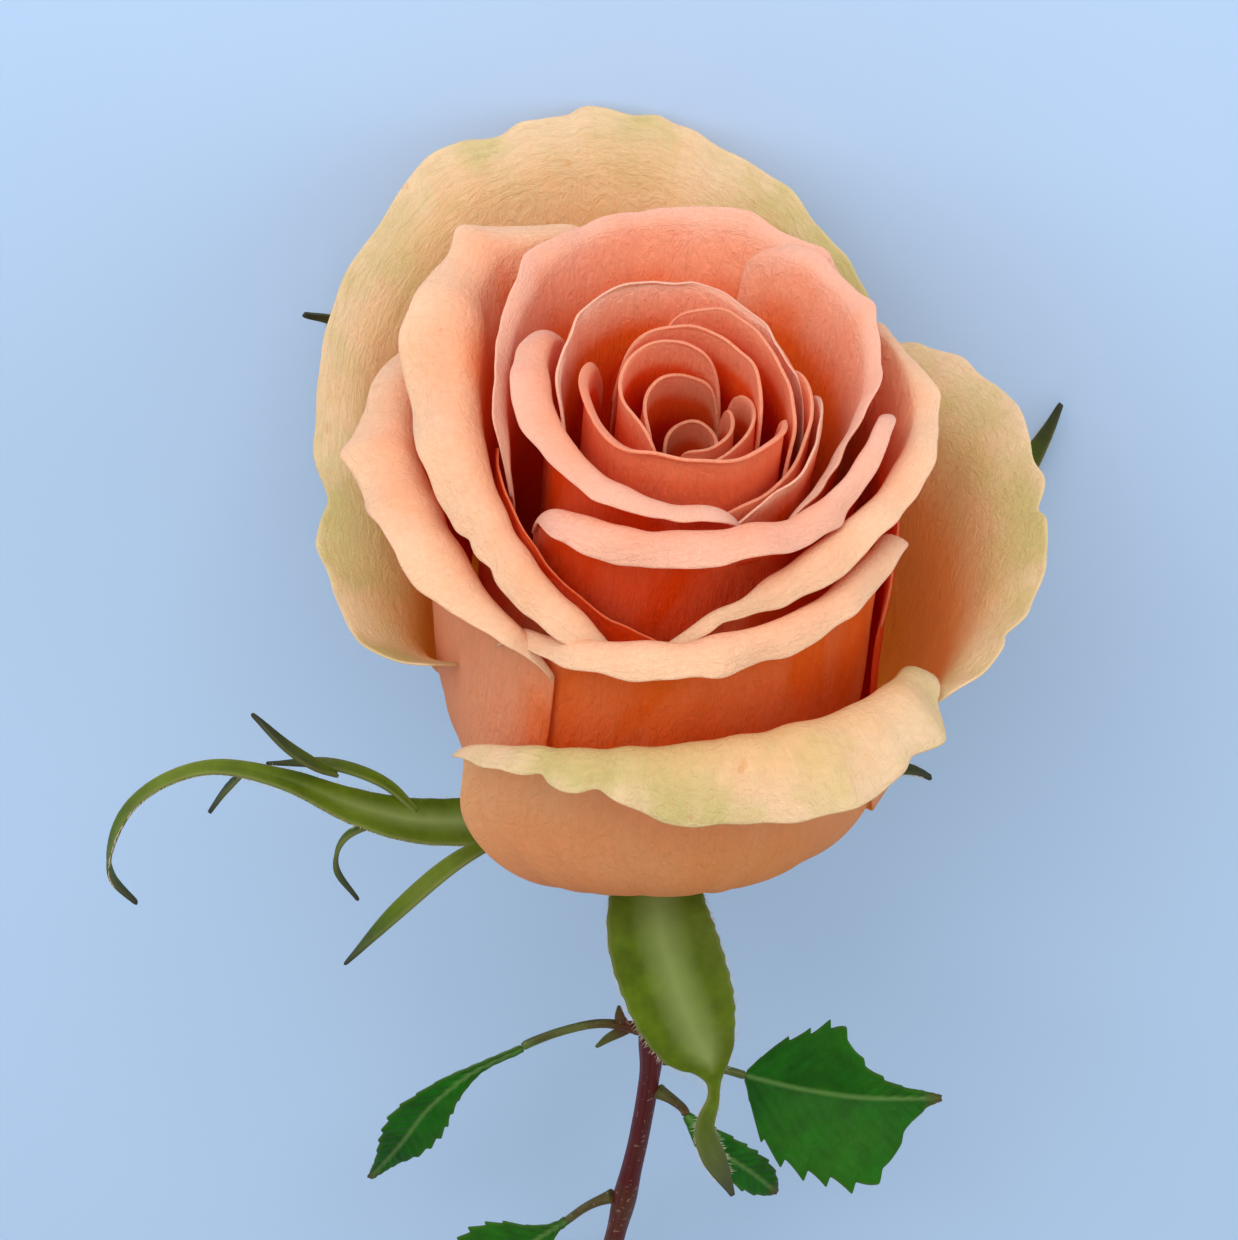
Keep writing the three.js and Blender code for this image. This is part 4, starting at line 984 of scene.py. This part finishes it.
class RoseStage(bpy.types.PropertyGroup):
    """The floor, the light and the camera."""

    floor: colour_of("Floor", (0.43, 0.61, 0.89), "Colour of the floor")
    key_power: amount_of("Key light", 5.2, "Power of the key light, in watts", min=0)
    fill_power: amount_of("Fill light", 3.0, "Power of the fill light, in watts", min=0)
    side_power: amount_of("Side light", 2.8, "Power of the side light, in watts", min=0)
    sky: amount_of("Sky", 0.56, "Strength of the even light all round", min=0)
    camera_angle: amount_of("Camera angle", 45, "Between the view and the bloom's axis, in degrees")
    camera_roll: amount_of("Camera roll", 5.6, "Lean of the rose in the picture, in degrees")
    camera_distance: length_of("Camera distance", 470, "From the camera to the bloom")
    view_width: length_of("View width", 134.8, "Width of the picture at the bloom")


def blend(a, b, share):
    return tuple(x * (1 - share) + y * share for x, y in zip(a, b))


def petal_tones(ring):
    """The colours of one ring's petals, each face's from rim to foot."""
    chosen = bpy.context.scene.rose_colours
    parts = ("rim", "lip", "wall", "foot", "outside")
    rim, lip, wall, foot, outside = (tuple(getattr(chosen, f"{ring}_{part}")) for part in parts)
    return {
        "inner": (rim, lip, wall, foot),
        "outer": (blend(rim, lip, 0.5), blend(lip, outside, 0.6), outside, blend(outside, foot, 0.3)),
        "pale": blend(lip, wall, 0.1),
        "face_reach": {"heart": 9.0, "inner": 26.0, "outer": 30.0}.get(ring, 42.0),
        "back_reach": {"heart": 9.0, "inner": 16.0, "outer": 20.0}.get(ring, 42.0),
        "through_share": {"guard": 0.5, "heart": 0.5}.get(ring, 0.38),
        "green": (0.66, 0.66, 0.26),
        "green_share": 0.75 if ring == "guard" else 0.0,
        "pink": (1.0, 0.86, 0.92),
        "vein": (0.97, 0.80, 0.68),
        "freckle": (0.9, 0.6, 0.45),
        # The colour and strength of the painted highlight along the petals' margins.
        "edge": blend(rim, (1, 0.9, 0.75), 0.35),
        "edge_highlight_share": {"heart": 0.0, "inner": 0.15}.get(ring, 0.3),
        "through": (1.0, 0.82, 0.5) if ring == "guard" else (1.0, 0.65, 0.3),
    }


# ---- operators ------------------------------------------------------------------------------------------


class PetalMaker:
    """Makes the petals whose names start with one word, in one finish."""

    def execute(self, context):
        size = context.scene.rose_sizes
        finish = petal_finish(self.slot + "_skin_" + self.word, petal_tones(self.ring))
        for rank, petal in enumerate(PETALS):
            if petal[0].startswith(self.word):
                make_petal(rank, size, finish, self.slot)
        return {"FINISHED"}


class ROSE_OT_heart_petals(PetalMaker, bpy.types.Operator):
    """Model the small petals in the middle of the bloom"""

    bl_idname = "rose.heart_petals"
    bl_label = "Heart petals"
    word, ring, slot = "heart", "heart", "inner_petal"


class ROSE_OT_inner_petals(PetalMaker, bpy.types.Operator):
    """Model the petals that wrap the heart"""

    bl_idname = "rose.inner_petals"
    bl_label = "Inner petals"
    word, ring, slot = "inner", "inner", "inner_petal"


class ROSE_OT_deep_petals(PetalMaker, bpy.types.Operator):
    """Model the petals that stand deep between the others"""

    bl_idname = "rose.deep_petals"
    bl_label = "Deep petals"
    word, ring, slot = "deep", "inner", "inner_petal"


class ROSE_OT_outer_petals(PetalMaker, bpy.types.Operator):
    """Model the outer petals, whose lips roll back"""

    bl_idname = "rose.outer_petals"
    bl_label = "Outer petals"
    word, ring, slot = "outer", "outer", "outer_petal"


class ROSE_OT_back_petal(PetalMaker, bpy.types.Operator):
    """Model the petal that closes the bloom behind"""

    bl_idname = "rose.back_petal"
    bl_label = "Back petal"
    word, ring, slot = "back", "outer", "outer_petal"


class ROSE_OT_guard_petals(PetalMaker, bpy.types.Operator):
    """Model the three wide guard petals"""

    bl_idname = "rose.guard_petals"
    bl_label = "Guard petals"
    word, ring, slot = "guard", "guard", "guard_petal"


class ROSE_OT_sepals(bpy.types.Operator):
    """Model the five sepals of the calyx"""

    bl_idname = "rose.sepals"
    bl_label = "Sepals"

    def execute(self, context):
        c = context.scene.rose_colours
        finish = green_finish("sepal_skin", {
            "dark": tuple(x * 0.8 for x in c.sepal), "light": tuple(min(1, x * 1.35) for x in c.sepal),
            "warm": (0.20, 0.22, 0.04), "rib": (0.30, 0.38, 0.13), "rib_spread": (0.2, 3.4),
            "rib_breadth": (1.2, 3.2), "under": (0.10, 0.18, 0.04), "under_share": 0.5,
            "margin": (0.24, 0.24, 0.10), "margin_width": 0.5, "margin_share": 0.4,
            "tip": (0.03, 0.03, 0.03), "tip_length": 12.0, "through": (0.8, 1.0, 0.3),
        }, 0.6, 0.12)
        down = plain_finish("sepal_down", (0.62, 0.60, 0.47), (0.45, 0.38, 0.30), 900, 0.8)
        for spec in SEPALS:
            make_sepal(spec, context.scene.rose_sizes, finish, down)
        return {"FINISHED"}


class ROSE_OT_hip(bpy.types.Operator):
    """Model the hip that carries the petals and sepals"""

    bl_idname = "rose.hip"
    bl_label = "Hip"

    def execute(self, context):
        size = context.scene.rose_sizes
        outline = hip_outline(size)
        steps = np.linspace(0, 1, len(outline))

        def shape(u, v):
            turn = math.pi * u
            r = np.interp(v, steps, [p[0] for p in outline])
            z = np.interp(v, steps, [p[1] for p in outline])
            wobble = 1 + 0.02 * np.sin(5 * turn) * smooth(1 - abs(v - 0.5) * 2)
            r = np.maximum(r, 0.01) * wobble
            return np.stack([r * np.cos(turn), r * np.sin(turn), z], -1), {"along": 0 * v, "tip": 9 + 0 * v}

        piece = grid_piece("receptacle_hip", 40, 32, shape)
        close_round(piece, 0.00002, fill=False)
        finish = plain_finish("hip_skin", (0.10, 0.19, 0.04), (0.17, 0.26, 0.07), 240, 0.45)
        piece.data.materials.append(finish)
        soften(piece)
        settle(piece, "hip", "receptacle")
        return {"FINISHED"}


class ROSE_OT_stem(bpy.types.Operator):
    """Model the stem down to its cut end"""

    bl_idname = "rose.stem"
    bl_label = "Stem"

    def execute(self, context):
        size = context.scene.rose_sizes
        length = size.stem_length

        def radius_at(d):
            down = d + size.hip_length
            swell = 0.35 * np.exp(-(((down - 45) / 5) ** 2)) + 0.2 * np.exp(-(((down - 77) / 5) ** 2))
            flare = (size.stem_cut_radius - size.stem_radius) * smooth((down / length - 0.6) / 0.4)
            return size.stem_radius * (0.9 + swell + 0.1 * smooth((down - 80) / 30)) * 0.985 + flare

        piece = tube_piece("stem_rod", stem_line(size), radius_at, 28, 190, 0.05)
        finish = stem_finish("stem_skin", stem_colours(context), 0.42)
        piece.data.materials.append(finish)
        soften(piece)
        settle(piece, "stem", "stem")
        return {"FINISHED"}


def stem_colours(context):
    stem = tuple(context.scene.rose_colours.stem)
    return {
        "dark": tuple(x * 0.7 for x in stem), "light": tuple(min(1, x * 1.6) for x in stem),
        "green": (0.07, 0.13, 0.03), "green_light": (0.13, 0.20, 0.05), "green_from": (90.0, 190.0),
        "dot": (0.30, 0.18, 0.12),
    }


class ROSE_OT_leaves(bpy.types.Operator):
    """Model the leaves on their stalks"""

    bl_idname = "rose.leaves"
    bl_label = "Leaves"

    def execute(self, context):
        leaf = tuple(context.scene.rose_colours.leaf)
        finish = green_finish("leaf_skin", {
            "dark": tuple(x * 0.75 for x in leaf), "light": tuple(min(1, x * 1.5) for x in leaf),
            "warm": (0.05, 0.20, 0.01), "rib": (0.16, 0.30, 0.08), "rib_spread": (0.05, 0.5),
            "rib_breadth": (0.0, 0.3), "under": (0.13, 0.24, 0.10), "under_share": 0.8,
            "margin": (0.10, 0.13, 0.03), "margin_width": 0.5, "margin_share": 0.4,
            "tip": (0.10, 0.07, 0.03), "tip_length": 2.5, "through": (0.7, 1.0, 0.25),
        }, 0.38, 0.18, 0.35)
        colours = {**stem_colours(context), "green_from": (18.0, 55.0)}
        stalk_finish = stem_finish("leaf_stalk_skin", colours, 0.45)
        for spec in LEAVES:
            make_leaf(spec, context.scene.rose_sizes, finish, stalk_finish)
        return {"FINISHED"}


# The lamps, as (name, direction from the bloom, distance and width in metres, colour).
LAMPS = (
    ("key", (0.10, -0.86, 0.42), 0.75, 0.7, (1.0, 0.97, 0.93)),
    ("fill", (0.9, -0.5, 0.6), 0.9, 0.8, (1.0, 0.98, 0.95)),
    ("side", (-0.9, -0.3, 0.4), 0.9, 0.8, (1.0, 0.98, 0.95)),
)
LAMPS_AIM = (0, 0, 40)  # a place in the bloom
CAMERA_AIM = (-5.7, 0, 24.6)
SENSOR_WIDTH = 36


class ROSE_OT_stage(bpy.types.Operator):
    """Set out the floor, the soft light and the camera"""

    bl_idname = "rose.stage"
    bl_label = "Stage"

    def execute(self, context):
        stage = context.scene.rose_stage
        deselect()
        bpy.ops.mesh.primitive_plane_add(size=6, location=(0, 0, -0.0002))
        floor = context.object
        floor.name = "floor"
        f = Finish("floor_paper")
        grain = f.noise(40, 3, 0.5)
        colour = tuple(stage.floor)
        shade = tuple(x * 0.985 for x in colour)
        floor.data.materials.append(f.surface(f.mix(grain, shade, colour), 0.9, Specular_IOR_Level=0.1))

        tilt, roll = math.radians(stage.camera_angle), math.radians(stage.camera_roll)
        back = Vector((0, -math.sin(tilt), math.cos(tilt)))
        upright = Vector((0, math.cos(tilt), math.sin(tilt)))
        level = Vector((1, 0, 0))
        up = math.cos(roll) * upright - math.sin(roll) * level
        right = math.cos(roll) * level + math.sin(roll) * upright
        aim = Vector(CAMERA_AIM)
        turn = Bloom.turn @ Matrix((right, up, back)).transposed()
        bpy.ops.object.camera_add()
        camera = context.object
        camera.matrix_world = Matrix.Translation(
            Vector(laid([aim + back * stage.camera_distance])[0])) @ turn.to_4x4()
        camera.data.sensor_width = SENSOR_WIDTH
        camera.data.lens = SENSOR_WIDTH * stage.camera_distance / stage.view_width
        camera.data.clip_end = 20
        context.scene.camera = camera

        heart = Vector(laid([LAMPS_AIM])[0])
        for name, direction, distance, width, colour in LAMPS:
            power = getattr(stage, name + "_power")
            self.lamp(name, heart, Vector(direction), distance, width, power, colour)
        world = bpy.data.worlds.new("soft_sky")
        context.scene.world = world
        context.scene.view_settings.view_transform = "Standard"
        world.use_nodes = True
        sky = world.node_tree.nodes["Background"]
        sky.inputs["Color"].default_value = (1.0, 0.975, 0.93, 1)
        sky.inputs["Strength"].default_value = stage.sky
        return {"FINISHED"}

    def lamp(self, name, aim, direction, distance, width, power, colour):
        direction.normalize()
        bpy.ops.object.light_add(type="AREA", location=aim + direction * distance)
        lamp = bpy.context.object
        lamp.name = name
        lamp.data.size = width
        lamp.data.energy = power
        lamp.data.color = colour
        lamp.rotation_mode = "QUATERNION"
        lamp.rotation_quaternion = (-direction).to_track_quat("-Z", "Y")


class ROSE_PT_panel(bpy.types.Panel):
    """The rose's pieces, sizes and colours, in the sidebar"""

    bl_idname = "ROSE_PT_panel"
    bl_label = "Cut rose"
    bl_space_type = "VIEW_3D"
    bl_region_type = "UI"
    bl_category = "Rose"

    def draw(self, context):
        for group in (context.scene.rose_sizes, context.scene.rose_colours, context.scene.rose_stage):
            box = self.layout.box()
            for key in group.__annotations__:
                box.prop(group, key)
        column = self.layout.column(align=True)
        for operator in OPERATORS:
            column.operator(operator.bl_idname)


OPERATORS = (
    ROSE_OT_stage, ROSE_OT_heart_petals, ROSE_OT_inner_petals, ROSE_OT_deep_petals, ROSE_OT_outer_petals,
    ROSE_OT_back_petal, ROSE_OT_guard_petals, ROSE_OT_sepals, ROSE_OT_hip, ROSE_OT_stem, ROSE_OT_leaves,
)
CLASSES = (RoseSizes, RoseColours, RoseStage, *OPERATORS, ROSE_PT_panel)


def register():
    for made in CLASSES:
        bpy.utils.register_class(made)
    bpy.types.Scene.rose_sizes = PointerProperty(type=RoseSizes)
    bpy.types.Scene.rose_colours = PointerProperty(type=RoseColours)
    bpy.types.Scene.rose_stage = PointerProperty(type=RoseStage)


def unregister():
    del bpy.types.Scene.rose_stage
    del bpy.types.Scene.rose_colours
    del bpy.types.Scene.rose_sizes
    for made in reversed(CLASSES):
        bpy.utils.unregister_class(made)


def main():
    register()
    find_place(bpy.context.scene.rose_sizes)
    for operator in OPERATORS:
        group, name = operator.bl_idname.split(".")
        getattr(getattr(bpy.ops, group), name)()


if __name__ == "__main__":
    main()
